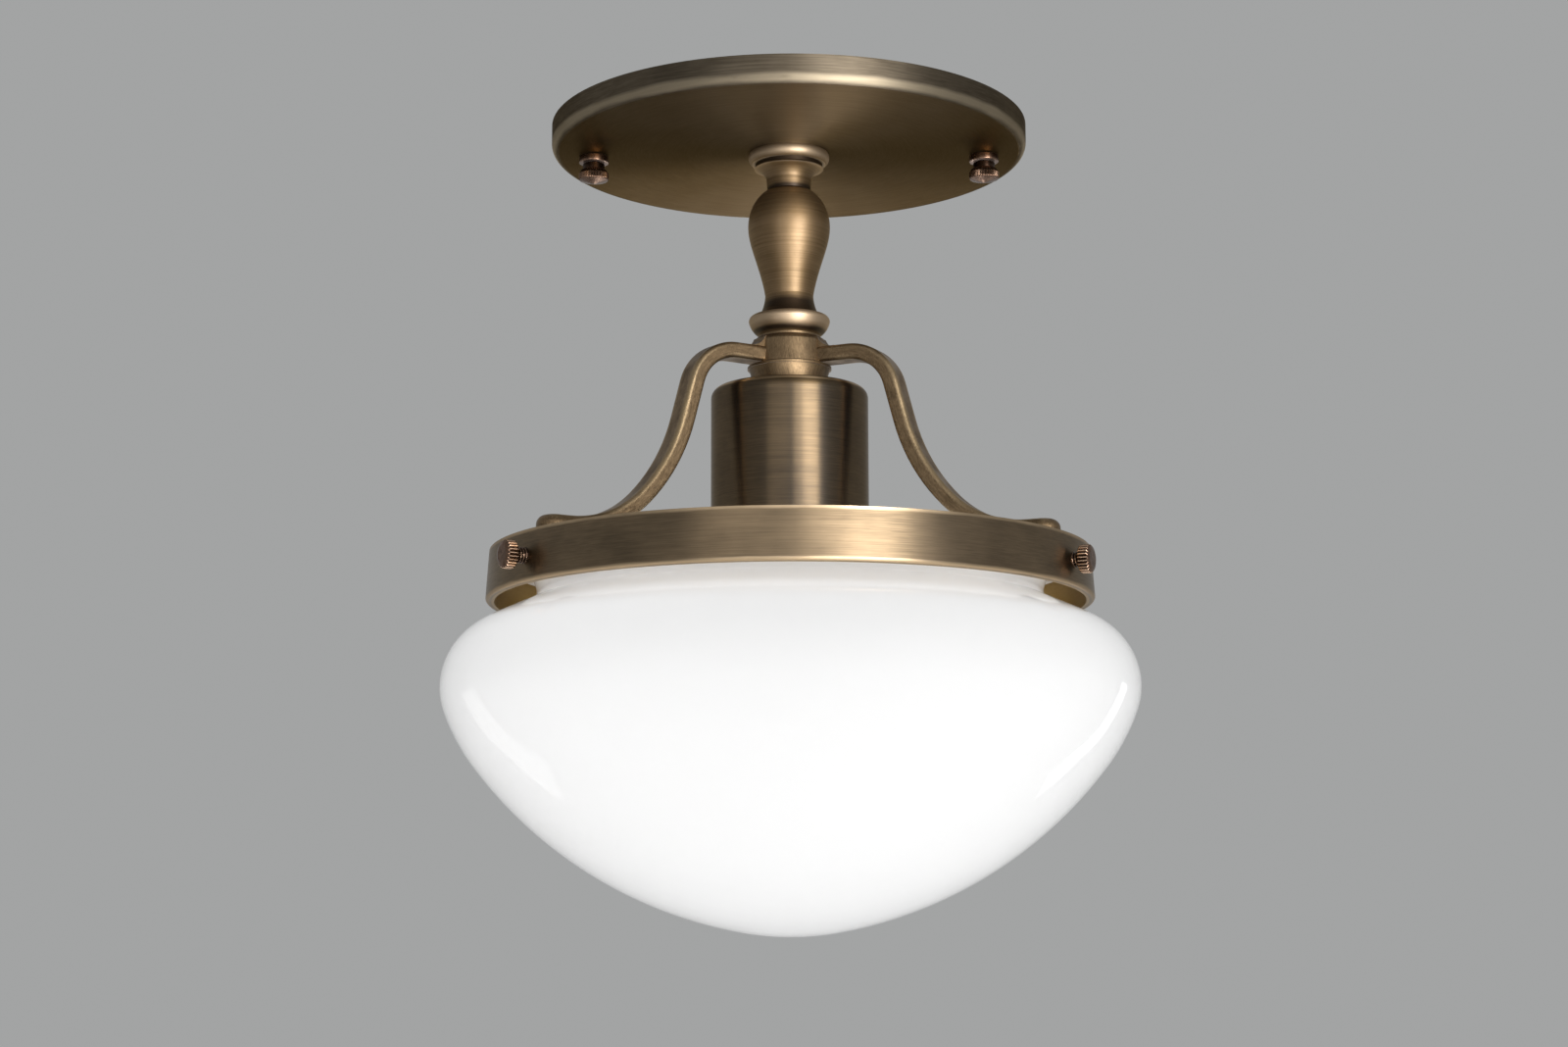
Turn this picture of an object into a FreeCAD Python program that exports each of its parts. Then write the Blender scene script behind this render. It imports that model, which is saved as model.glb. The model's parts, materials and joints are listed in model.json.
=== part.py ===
import FreeCAD, Part
import math
import os

V = FreeCAD.Vector

# Semi flush ceiling light, in millimetres.
# The ceiling is the plane z = 0, the light hangs towards -Z, and the mounting bar lies along X.

# Canopy: a shallow spun pan whose underside rises a little towards the middle
CANOPY_R = 63.5
CANOPY_DEPTH = 7.0
CANOPY_WALL = 1.0
CANOPY_EDGE_R = 2.1
CANOPY_DISH = 0.6
CANOPY_SEAT_R = 14.0

# Mounting bar across the ceiling box, and its screw holes
BAR_THICKNESS = 1.5
BAR_WIDTH = 16.0
BAR_END_MARGIN = 4.6
BAR_CENTRE_HOLE_R = 5.6
BOX_SCREW_SPACING = 88.9
SMALL_BOX_SCREW_SPACING = 69.85
BOX_SLOT_LENGTH = 8.0
BOX_SLOT_WIDTH = 4.6
CANOPY_SCREW_SPACING = 104.8

# Grounding screw of the bar
GROUND_SCREW_X = -17.0
GROUND_SCREW_R = 2.4
GROUND_HEAD_R = 4.0
GROUND_HEAD_HEIGHT = 2.2
GROUND_HEX_ACROSS = 6.4
GROUND_FLANGE_HEIGHT = 0.7

# Number 8 machine screw threads, and the fits round them
SCREW_R = 2.05
TAPPED_CLEARANCE = 0.05
CLEARANCE_HOLE_R = 2.5

# Canopy thumbscrews, with a loose collar under each
COLLAR_R = 3.95
COLLAR_THICKNESS = 1.85
THUMB_NECK_R = 2.9
THUMB_NECK_LENGTH = 1.6
THUMB_HEAD_R = 4.0
THUMB_HEAD_LENGTH = 2.8
THUMB_SHOULDER_R = 3.2
THUMB_SHOULDER_HEIGHT = 1.1
THUMB_KNURL_COUNT = 58
THUMB_KNURL_DEPTH = 0.16
THUMB_CONE_LENGTH = 1.0
THUMB_CONE_TIP_R = 0.4
THUMB_COLLAR_GAP = 0.3

# Pipe thread of the wireway, its nuts and its tooth washers
PIPE_R = 4.86
PIPE_BORE_R = 3.3
PIPE_CLEARANCE = 0.2
PIPE_TAPPED_CLEARANCE = 0.03
NUT_ACROSS_FLATS = 12.7
NUT_THICKNESS = 2.5
WASHER_R = 7.4
WASHER_THICKNESS = 0.6
WASHER_TOOTH_COUNT = 10
WASHER_TOOTH_LENGTH = 1.2
WASHER_TOOTH_WIDTH = 1.3
WASHER_TOOTH_REACH = 0.9
NUT_THREAD_STICK_OUT = 0.5

# Turned column: radii, and the distance of each station below its top face
COLUMN_LENGTH = 50.3
COLUMN_TOP_R = 10.5
COLUMN_TOP_BEAD_R = 10.85
COLUMN_TOP_BEAD_AT = 1.3
COLUMN_TOP_BEAD_END_R = 9.8
COLUMN_GROOVE_R = 9.0
COLUMN_GROOVE_AT = 3.0
COLUMN_LIP_R = 9.25
COLUMN_LIP_AT = 3.9
COLUMN_LIP_HEIGHT = 0.4
COLUMN_COVE_R = 6.9
COLUMN_COVE_AT = 5.5
COLUMN_NECK_R = 5.95
COLUMN_NECK_AT = 7.9
COLUMN_NECK_END_R = 5.8
COLUMN_NECK_END_AT = 10.3
COLUMN_SHOULDER_R = 8.6
COLUMN_SHOULDER_AT = 12.9
COLUMN_BELLY_R = 10.93
COLUMN_BELLY_AT = 19.7
COLUMN_TAPER_R = 9.24
COLUMN_TAPER_AT = 28.5
COLUMN_SHIN_R = 6.98
COLUMN_SHIN_AT = 36.3
COLUMN_WAIST_R = 6.4
COLUMN_WAIST_AT = 39.3
COLUMN_FLARE_R = 6.85
COLUMN_FLARE_AT = 42.0
COLUMN_FLARE_END_R = 8.0
COLUMN_BASE_BEAD_AT = 44.8
COLUMN_BASE_BEAD_R = 10.8
COLUMN_BASE_EDGE_R = 1.5
COLUMN_BASE_UNDER_R = 10.05
COLUMN_BASE_UNDER_AT = 48.2
COLUMN_BASE_FOOT_R = 8.6
COLUMN_BASE_FOOT_HEIGHT = 0.5
COLUMN_WIRE_BORE_R = 3.3
COLUMN_TOP_TAP_DEPTH = 6.6
COLUMN_BASE_TAP_DEPTH = 8.0

# Cast hub of the three arms
HUB_HEIGHT = 14.2
HUB_NECK_R = 8.0
HUB_NECK_HEIGHT = 0.6
HUB_SHOULDER_R = 9.9
HUB_SHOULDER_HEIGHT = 1.5
HUB_SHOULDER_BULGE = 0.4
HUB_BODY_R = 10.7
HUB_LIP_R = 11.15
HUB_LIP_AT = 8.2
HUB_LIP_HEIGHT = 0.9
HUB_BASE_R = 9.3

# Cast arms: a flat bar that leaves the hub level, drops steeply and sweeps out to a flat foot
ARM_COUNT = 3
HOLDER_TURN = 4.0
ARM_THICKNESS = 4.2
ARM_WIDTH = 7.0
ARM_ROOT_DROP = 6.3
ARM_ROOT_DEPTH = 3.2
ARM_BEND_R = 12.6
ARM_STEEP_ANGLE = 74.5
ARM_STEEP_LENGTH = 10.6
ARM_SWEEP_R = 50.0
ARM_SWEEP_END_ANGLE = 45.0
ARM_EDGE_R = 1.1
ARM_ROUNDING_START = 6.4
ARM_RISE = 58.7
ARM_WEB_REACH = 4.4
ARM_WEB_WIDTH = 5.6
ARM_WEB_HOLLOW = 1.3
ARM_WEB_HOLLOW_RISE = 0.7
ARM_WEB_OVERLAP = 0.5
FOOT_WIDTH = 9.0
FOOT_FLARE_LENGTH = 20.0
FOOT_FLAT_LENGTH = 7.8
FOOT_SETBACK = 3.3
FOOT_END_EDGE_R = 2.4

# Flat head screws that hold each foot down on the ring, from below
FOOT_SCREW_R = 1.75
FOOT_SCREW_HEAD_R = 3.2
FOOT_SCREW_HEAD_HEIGHT = 1.5
FOOT_SCREW_LENGTH = 4.6

# Socket cup
CUP_R = 20.8
CUP_HEIGHT = 44.4
CUP_WALL = 0.9
CUP_EDGE_R = 2.8

# Shade: opal glass with a six inch fitter lip
LIP_R = 74.6
LIP_THICKNESS = 2.0
LIP_OVERHANG = 8.5
GLASS_WALL = 2.6
WAIST_BELOW_LIP_TOP = 7.9
WAIST_COVE_R = 3.4
NECK_SLOPE = 70.0
NECK_CORNER_R = 1.2
SHOULDER_SLOPE = 24.3
SHOULDER_LENGTH = 12.9
SHOULDER_R = 18.4
SIDE_UPPER_R = 53.0
SIDE_UPPER_ANGLE = 70.0
SIDE_LOWER_R = 112.0
SIDE_LOWER_ANGLE = 52.5
POLE_ANGLE = 10.0

# Fitter ring: a band round the lip, with an inward flange over it
LIP_SIDE_CLEARANCE = 1.6
LIP_TOP_CLEARANCE = 0.4
RING_WALL = 2.3
RING_HEIGHT = 13.2
RING_TAPER = 0.9
RING_FLANGE_THICKNESS = 2.0
RING_FLANGE_COVER = 10.1
RING_EDGE_R = 1.0
FITTER_SCREW_DROP = 6.6

# Fitter thumbscrews: the gap between each head and the ring, starting at the right hand one
FITTER_SCREW_GAPS = (1.8, 2.4, 3.2)
FITTER_SHANK_LENGTH = 12.6
FITTER_TIP_R = 1.4
FITTER_TIP_CHAMFER = 0.6
FITTER_HEAD_R = 3.6
FITTER_HEAD_LENGTH = 2.8
FITTER_HEAD_BEVEL = 0.5
FITTER_KNURL_COUNT = 24
FITTER_KNURL_DEPTH = 0.42

# Lampholder: steel bracket plate, porcelain body, screw shell, contacts and screws
BRACKET_R = 15.5
BRACKET_THICKNESS = 1.3
BRACKET_COLLAR_R = 7.0
BRACKET_COLLAR_LENGTH = 3.6
BRACKET_GAP = 0.8
BRACKET_FLAT_MARGIN = 3.0
BRACKET_SCREW_AT = 11.8
BRACKET_SCREW_R = 1.5
BRACKET_SCREW_HEAD_R = 2.7
BRACKET_SCREW_HEAD_HEIGHT = 1.4
BRACKET_SCREW_LENGTH = 9.0
BRACKET_DRIVE_WIDTH = 0.8
BRACKET_DRIVE_DEPTH = 0.6
PORCELAIN_R = 18.0
PORCELAIN_HEIGHT = 34.0
PORCELAIN_RECESS_CLEARANCE = 0.6
PORCELAIN_FLOOR = 3.5
PORCELAIN_EDGE_R = 1.2
SMALL_SCREW_CLEARANCE = 0.05
SHELL_R = 13.75
SHELL_WALL = 0.35
SHELL_SEAT_GAP = 0.25
SHELL_MOUTH_INSET = 1.6
SHELL_WINDOW_R = 6.5
THREAD_PITCH = 3.63
CONTACT_WIDTH = 6.0
CONTACT_THICKNESS = 0.5
CONTACT_REACH = 2.2
CONTACT_DROP = 3.0
CONTACT_EDGE_GAP = 1.0
CONTACT_BEND_SHIFT = 0.3
RIVET_R = 1.3
RIVET_HEAD_R = 2.0
RIVET_HEAD_HEIGHT = 0.6
RIVET_X = 3.4
TERMINAL_HEAD_R = 3.2
TERMINAL_HEAD_HEIGHT = 1.8
TERMINAL_SHANK_R = 1.5
TERMINAL_SHANK_LENGTH = 2.8
TERMINAL_DRIVE_WIDTH = 0.8
TERMINAL_DRIVE_DEPTH = 0.7
TERMINAL_POCKET_WIDTH = 8.4
TERMINAL_POCKET_HEIGHT = 8.0
TERMINAL_POCKET_DEPTH = 4.2

# Bulb: medium screw base and a pear shaped envelope
BULB_LENGTH = 108.0
BULB_R = 30.0
BULB_GLASS_WALL = 0.9
BULB_BASE_R = 13.15
BULB_BASE_WALL = 0.35
BULB_BASE_LENGTH = 20.5
BULB_BASE_SKIRT_R = 13.0
BULB_TIP_R = 4.7
BULB_TIP_HEIGHT = 1.7
BULB_INSULATOR_HEIGHT = 2.9
BULB_INSULATOR_R = 11.0
BULB_INSULATOR_STEP = 0.8
BULB_THREAD_DEPTH = 0.7
BULB_THREAD_START = 0.4
BULB_TIP_GAP = 0.3
BULB_GLASS_SEAT = 3.0
BULB_GLASS_CLEARANCE = 0.1
BULB_GLASS_OVERLAP = 1.0
BULB_NECK_LENGTH = 1.5
BULB_NECK_PULL = 16.0
BULB_GLOBE_PULL = 26.0

# Heights worked out from the stack, from the ceiling down
COLUMN_TOP_Z = -(CANOPY_DEPTH - CANOPY_DISH)
CANOPY_INNER_Z = COLUMN_TOP_Z + CANOPY_WALL
HUB_TOP_Z = COLUMN_TOP_Z - COLUMN_LENGTH
CUP_TOP_Z = HUB_TOP_Z - HUB_HEIGHT
CUP_INNER_Z = CUP_TOP_Z - CUP_WALL
BAR_UNDER_Z = -BAR_THICKNESS
RING_TOP_Z = HUB_TOP_Z - ARM_RISE
LIP_TOP_Z = RING_TOP_Z - RING_FLANGE_THICKNESS - LIP_TOP_CLEARANCE
WAIST_Z = LIP_TOP_Z - WAIST_BELOW_LIP_TOP
WAIST_R = LIP_R - LIP_OVERHANG
FITTER_SCREW_Z = RING_TOP_Z - FITTER_SCREW_DROP
BRACKET_TOP_Z = CUP_INNER_Z - WASHER_THICKNESS - NUT_THICKNESS - BRACKET_GAP
PORCELAIN_TOP_Z = BRACKET_TOP_Z - BRACKET_THICKNESS
PORCELAIN_MOUTH_Z = PORCELAIN_TOP_Z - PORCELAIN_HEIGHT
RECESS_DEPTH = BRACKET_COLLAR_LENGTH + PORCELAIN_RECESS_CLEARANCE
SHELL_TOP_Z = PORCELAIN_TOP_Z - RECESS_DEPTH - PORCELAIN_FLOOR
CONTACT_Z = SHELL_TOP_Z - CONTACT_DROP
BULB_TOP_Z = CONTACT_Z - CONTACT_THICKNESS - BULB_TIP_GAP

# Radii worked out from the lip of the shade
RING_INNER_R = LIP_R + LIP_SIDE_CLEARANCE
RING_TOP_R = RING_INNER_R + RING_WALL
RING_BASE_R = RING_TOP_R + RING_TAPER
FLANGE_BORE_R = LIP_R - RING_FLANGE_COVER
FOOT_END_R = RING_TOP_R - FOOT_SETBACK
FOOT_SCREW_AT = FOOT_END_R - FOOT_WIDTH / 2
ARM_ROOT_R = HUB_BODY_R - ARM_ROOT_DEPTH


def write(name, shape):
    """Write one node as a STEP file."""
    shape.exportStep("parts/" + name + ".step")


def rz(radius, z):
    """Point of a profile in the XZ plane."""
    return V(radius, 0, z)


def line(start, end):
    return Part.LineSegment(start, end).toShape()


def arc(start, middle, end):
    return Part.Arc(start, middle, end).toShape()


def closed_wire(edges):
    return Part.Wire(Part.__sortEdges__(edges))


def outline(points):
    """Closed wire through corner points of the XZ plane, given as radius and z."""
    corners = [rz(radius, z) for radius, z in points]
    return Part.makePolygon(corners + corners[:1])


def revolve(wire):
    """Turn a closed outline of the XZ plane into a solid round the Z axis."""
    return Part.Face(wire).revolve(V(0, 0, 0), V(0, 0, 1), 360)


def cylinder(radius, z_low, z_high, x=0.0, y=0.0):
    return Part.makeCylinder(radius, z_high - z_low, V(x, y, z_low))


def tube(outer, inner, z_low, z_high, x=0.0, y=0.0):
    outside = cylinder(outer, z_low, z_high, x, y)
    return outside.cut(cylinder(inner, z_low - 1, z_high + 1, x, y))


def turned(shape, angle):
    """Copy of a shape turned round the Z axis of the light."""
    copy = shape.copy()
    copy.rotate(V(0, 0, 0), V(0, 0, 1), angle)
    return copy


def prism(points, z_low, z_high):
    """Upright prism on a polygon of x, y corners."""
    corners = [V(x, y, z_low) for x, y in points]
    face = Part.Face(Part.makePolygon(corners + corners[:1]))
    return face.extrude(V(0, 0, z_high - z_low))


def hexagon(across_flats, z_low, z_high):
    corner_r = across_flats / math.sqrt(3)
    points = []
    for k in range(6):
        angle = math.radians(60 * k + 30)
        points.append((corner_r * math.cos(angle), corner_r * math.sin(angle)))
    return prism(points, z_low, z_high)


def knurled_rim(radius, count, depth, z_low, z_high):
    """Straight knurl: a prism whose rim runs in and out by the knurl depth."""
    points = []
    for k in range(2 * count):
        angle = math.pi * k / count
        reach = radius - (depth if k % 2 else 0.0)
        points.append((reach * math.cos(angle), reach * math.sin(angle)))
    return prism(points, z_low, z_high)


def slot(length, width, z_low, z_high, x):
    """Slotted hole along X with round ends."""
    half_run = (length - width) / 2
    block = Part.makeBox(2 * half_run, width, z_high - z_low, V(x - half_run, -width / 2, z_low))
    ends = [cylinder(width / 2, z_low, z_high, x + side * half_run) for side in (-1, 1)]
    return block.fuse(ends)


def canopy_under_z(radius):
    """Height of the canopy's underside, a shallow cone between its seat and its edge."""
    flat_r = CANOPY_R - CANOPY_EDGE_R
    share = (flat_r - radius) / (flat_r - CANOPY_SEAT_R)
    return -CANOPY_DEPTH + CANOPY_DISH * min(1.0, max(0.0, share))


def canopy():
    """Spun pan with a rounded lower edge, a centre hole and two screw holes."""
    flat_r = CANOPY_R - CANOPY_EDGE_R
    inner_r = CANOPY_R - CANOPY_WALL
    inner_edge = CANOPY_EDGE_R - CANOPY_WALL
    bore = PIPE_R + PIPE_CLEARANCE
    edge_z = -CANOPY_DEPTH + CANOPY_EDGE_R
    diagonal = math.sqrt(0.5)
    edges = [
        line(rz(CANOPY_R, 0), rz(CANOPY_R, edge_z)),
        arc(
            rz(CANOPY_R, edge_z),
            rz(flat_r + CANOPY_EDGE_R * diagonal, edge_z - CANOPY_EDGE_R * diagonal),
            rz(flat_r, -CANOPY_DEPTH),
        ),
        line(rz(flat_r, -CANOPY_DEPTH), rz(CANOPY_SEAT_R, COLUMN_TOP_Z)),
        line(rz(CANOPY_SEAT_R, COLUMN_TOP_Z), rz(bore, COLUMN_TOP_Z)),
        line(rz(bore, COLUMN_TOP_Z), rz(bore, CANOPY_INNER_Z)),
        line(rz(bore, CANOPY_INNER_Z), rz(CANOPY_SEAT_R, CANOPY_INNER_Z)),
        line(rz(CANOPY_SEAT_R, CANOPY_INNER_Z), rz(flat_r, CANOPY_WALL - CANOPY_DEPTH)),
        arc(
            rz(flat_r, CANOPY_WALL - CANOPY_DEPTH),
            rz(flat_r + inner_edge * diagonal, edge_z - inner_edge * diagonal),
            rz(inner_r, edge_z),
        ),
        line(rz(inner_r, edge_z), rz(inner_r, 0)),
        line(rz(inner_r, 0), rz(CANOPY_R, 0)),
    ]
    pan = revolve(closed_wire(edges))
    for side in (-1, 1):
        x = side * CANOPY_SCREW_SPACING / 2
        pan = pan.cut(cylinder(CLEARANCE_HOLE_R, -2 * CANOPY_DEPTH, 0, x))
    return pan


def crossbar():
    """Flat steel bar with round ends, slots for the box screws and tapped ends."""
    half = CANOPY_SCREW_SPACING / 2 + BAR_END_MARGIN
    block = Part.makeBox(2 * half, BAR_WIDTH, BAR_THICKNESS, V(-half, -BAR_WIDTH / 2, BAR_UNDER_Z))
    bar = block.common(cylinder(half, BAR_UNDER_Z, 0))
    below = BAR_UNDER_Z - 1
    above = 1.0
    holes = [cylinder(BAR_CENTRE_HOLE_R, below, above)]
    holes.append(cylinder(GROUND_SCREW_R + TAPPED_CLEARANCE, below, above, GROUND_SCREW_X))
    for side in (-1, 1):
        for spacing in (BOX_SCREW_SPACING, SMALL_BOX_SCREW_SPACING):
            x = side * spacing / 2
            holes.append(slot(BOX_SLOT_LENGTH, BOX_SLOT_WIDTH, below, above, x))
        x = side * CANOPY_SCREW_SPACING / 2
        holes.append(cylinder(SCREW_R + TAPPED_CLEARANCE, below, above, x))
    return bar.cut(holes)


def ground_screw():
    """Hexagon head screw with a flange, screwed up into the bar."""
    shank = cylinder(GROUND_SCREW_R, BAR_UNDER_Z, 0)
    flange_z = BAR_UNDER_Z - GROUND_FLANGE_HEIGHT
    flange = cylinder(GROUND_HEAD_R, flange_z, BAR_UNDER_Z)
    head = hexagon(GROUND_HEX_ACROSS, BAR_UNDER_Z - GROUND_HEAD_HEIGHT, flange_z)
    screw = shank.fuse([flange, head])
    screw.translate(V(GROUND_SCREW_X, 0, 0))
    return screw


def collar_top_z():
    """The collar touches the canopy where its underside is lowest below it."""
    return canopy_under_z(CANOPY_SCREW_SPACING / 2 + COLLAR_R)


def canopy_collar(side):
    """Loose round collar between the canopy and the neck of its thumbscrew."""
    top = collar_top_z()
    x = side * CANOPY_SCREW_SPACING / 2
    return tube(COLLAR_R, SCREW_R + TAPPED_CLEARANCE, top - COLLAR_THICKNESS, top, x)


def canopy_thumbscrew(side):
    """Thumbscrew with a neck, a sloped shoulder over its fine knurl, and a shallow point."""
    neck_top = collar_top_z() - COLLAR_THICKNESS - THUMB_COLLAR_GAP
    head_top = neck_top - THUMB_NECK_LENGTH
    head_base = head_top - THUMB_HEAD_LENGTH
    shank = cylinder(SCREW_R, neck_top, 0)
    neck = cylinder(THUMB_NECK_R, head_top, neck_top)
    root_r = THUMB_HEAD_R - THUMB_KNURL_DEPTH
    rim_top = head_top - THUMB_SHOULDER_HEIGHT
    shoulder = Part.makeCone(root_r, THUMB_SHOULDER_R, THUMB_SHOULDER_HEIGHT, V(0, 0, rim_top))
    rim = knurled_rim(THUMB_HEAD_R, THUMB_KNURL_COUNT, THUMB_KNURL_DEPTH, head_base, rim_top)
    end = V(0, 0, head_base)
    cone = Part.makeCone(root_r, THUMB_CONE_TIP_R, THUMB_CONE_LENGTH, end, V(0, 0, -1))
    screw = shank.fuse([neck, shoulder, rim, cone])
    screw.translate(V(side * CANOPY_SCREW_SPACING / 2, 0, 0))
    return screw


def pipe(z_low, z_high):
    """Length of threaded pipe that carries the wires."""
    return tube(PIPE_R, PIPE_BORE_R, z_low, z_high)


def upper_nipple():
    top = CANOPY_INNER_Z + WASHER_THICKNESS + NUT_THICKNESS + NUT_THREAD_STICK_OUT
    return pipe(COLUMN_TOP_Z - COLUMN_TOP_TAP_DEPTH + PIPE_CLEARANCE, top)


def lower_nipple():
    bottom = PORCELAIN_TOP_Z - BRACKET_COLLAR_LENGTH
    return pipe(bottom, HUB_TOP_Z + COLUMN_BASE_TAP_DEPTH - PIPE_CLEARANCE)


def lock_nut(z_low):
    nut = hexagon(NUT_ACROSS_FLATS, z_low, z_low + NUT_THICKNESS)
    return nut.cut(cylinder(PIPE_R + PIPE_TAPPED_CLEARANCE, z_low - 1, z_low + NUT_THICKNESS + 1))


def tooth_washer(z_low):
    """Lock washer with short teeth round its bore."""
    bore_r = PIPE_R + PIPE_CLEARANCE
    ring = tube(WASHER_R, bore_r + WASHER_TOOTH_REACH, z_low, z_low + WASHER_THICKNESS)
    corner = V(bore_r, -WASHER_TOOTH_WIDTH / 2, z_low)
    tooth = Part.makeBox(WASHER_TOOTH_LENGTH, WASHER_TOOTH_WIDTH, WASHER_THICKNESS, corner)
    step = 360 / WASHER_TOOTH_COUNT
    return ring.fuse([turned(tooth, step * k) for k in range(WASHER_TOOTH_COUNT)])


def column():
    """Turned column: top bead, groove, lip, cove, vase and base bead, tapped at both ends."""
    def at(radius, depth):
        return rz(radius, COLUMN_TOP_Z - depth)

    lip_end = COLUMN_LIP_AT + COLUMN_LIP_HEIGHT
    base_end = COLUMN_LENGTH - COLUMN_BASE_FOOT_HEIGHT
    base_tap = COLUMN_LENGTH - COLUMN_BASE_TAP_DEPTH
    tap_r = PIPE_R + PIPE_TAPPED_CLEARANCE
    edge_r = COLUMN_BASE_BEAD_R - COLUMN_BASE_EDGE_R
    edge_at = COLUMN_BASE_BEAD_AT + COLUMN_BASE_EDGE_R
    diagonal = math.sqrt(0.5) * COLUMN_BASE_EDGE_R
    vase = Part.BSplineCurve()
    vase.interpolate([
        at(COLUMN_NECK_END_R, COLUMN_NECK_END_AT),
        at(COLUMN_SHOULDER_R, COLUMN_SHOULDER_AT),
        at(COLUMN_BELLY_R, COLUMN_BELLY_AT),
        at(COLUMN_TAPER_R, COLUMN_TAPER_AT),
        at(COLUMN_SHIN_R, COLUMN_SHIN_AT),
        at(COLUMN_WAIST_R, COLUMN_WAIST_AT),
    ])
    edges = [
        line(at(tap_r, 0), at(COLUMN_TOP_R, 0)),
        arc(
            at(COLUMN_TOP_R, 0),
            at(COLUMN_TOP_BEAD_R, COLUMN_TOP_BEAD_AT),
            at(COLUMN_TOP_BEAD_END_R, COLUMN_GROOVE_AT),
        ),
        line(at(COLUMN_TOP_BEAD_END_R, COLUMN_GROOVE_AT), at(COLUMN_GROOVE_R, COLUMN_GROOVE_AT)),
        line(at(COLUMN_GROOVE_R, COLUMN_GROOVE_AT), at(COLUMN_GROOVE_R, COLUMN_LIP_AT)),
        line(at(COLUMN_GROOVE_R, COLUMN_LIP_AT), at(COLUMN_LIP_R, lip_end)),
        arc(
            at(COLUMN_LIP_R, lip_end),
            at(COLUMN_COVE_R, COLUMN_COVE_AT),
            at(COLUMN_NECK_R, COLUMN_NECK_AT),
        ),
        line(at(COLUMN_NECK_R, COLUMN_NECK_AT), at(COLUMN_NECK_END_R, COLUMN_NECK_END_AT)),
        vase.toShape(),
        arc(
            at(COLUMN_WAIST_R, COLUMN_WAIST_AT),
            at(COLUMN_FLARE_R, COLUMN_FLARE_AT),
            at(COLUMN_FLARE_END_R, COLUMN_BASE_BEAD_AT),
        ),
        line(at(COLUMN_FLARE_END_R, COLUMN_BASE_BEAD_AT), at(edge_r, COLUMN_BASE_BEAD_AT)),
        arc(
            at(edge_r, COLUMN_BASE_BEAD_AT),
            at(edge_r + diagonal, edge_at - diagonal),
            at(COLUMN_BASE_BEAD_R, edge_at),
        ),
        arc(
            at(COLUMN_BASE_BEAD_R, edge_at),
            at(COLUMN_BASE_UNDER_R, COLUMN_BASE_UNDER_AT),
            at(COLUMN_BASE_FOOT_R, base_end),
        ),
        line(at(COLUMN_BASE_FOOT_R, base_end), at(HUB_NECK_R, COLUMN_LENGTH)),
        line(at(HUB_NECK_R, COLUMN_LENGTH), at(tap_r, COLUMN_LENGTH)),
        line(at(tap_r, COLUMN_LENGTH), at(tap_r, base_tap)),
        line(at(tap_r, base_tap), at(COLUMN_WIRE_BORE_R, base_tap)),
        line(at(COLUMN_WIRE_BORE_R, base_tap), at(COLUMN_WIRE_BORE_R, COLUMN_TOP_TAP_DEPTH)),
        line(at(COLUMN_WIRE_BORE_R, COLUMN_TOP_TAP_DEPTH), at(tap_r, COLUMN_TOP_TAP_DEPTH)),
        line(at(tap_r, COLUMN_TOP_TAP_DEPTH), at(tap_r, 0)),
    ]
    return revolve(closed_wire(edges))


def hub():
    """Cast hub: neck, rounded shoulder, body, parting lip and a cone down to the cup."""
    def at(radius, depth):
        return rz(radius, HUB_TOP_Z - depth)

    shoulder_end = HUB_NECK_HEIGHT + HUB_SHOULDER_HEIGHT
    lip_end = HUB_LIP_AT + HUB_LIP_HEIGHT
    bore = PIPE_R + PIPE_CLEARANCE
    edges = [
        line(at(bore, 0), at(HUB_NECK_R, 0)),
        line(at(HUB_NECK_R, 0), at(HUB_NECK_R, HUB_NECK_HEIGHT)),
        arc(
            at(HUB_NECK_R, HUB_NECK_HEIGHT),
            at(HUB_SHOULDER_R - HUB_SHOULDER_BULGE, HUB_NECK_HEIGHT + HUB_SHOULDER_HEIGHT / 2),
            at(HUB_SHOULDER_R, shoulder_end),
        ),
        line(at(HUB_SHOULDER_R, shoulder_end), at(HUB_BODY_R, HUB_LIP_AT)),
        line(at(HUB_BODY_R, HUB_LIP_AT), at(HUB_LIP_R, HUB_LIP_AT + HUB_LIP_HEIGHT / 3)),
        line(at(HUB_LIP_R, HUB_LIP_AT + HUB_LIP_HEIGHT / 3), at(HUB_LIP_R, lip_end)),
        line(at(HUB_LIP_R, lip_end), at(HUB_BODY_R, lip_end)),
        line(at(HUB_BODY_R, lip_end), at(HUB_BASE_R, HUB_HEIGHT)),
        line(at(HUB_BASE_R, HUB_HEIGHT), at(bore, HUB_HEIGHT)),
        line(at(bore, HUB_HEIGHT), at(bore, 0)),
    ]
    return revolve(closed_wire(edges))


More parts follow.
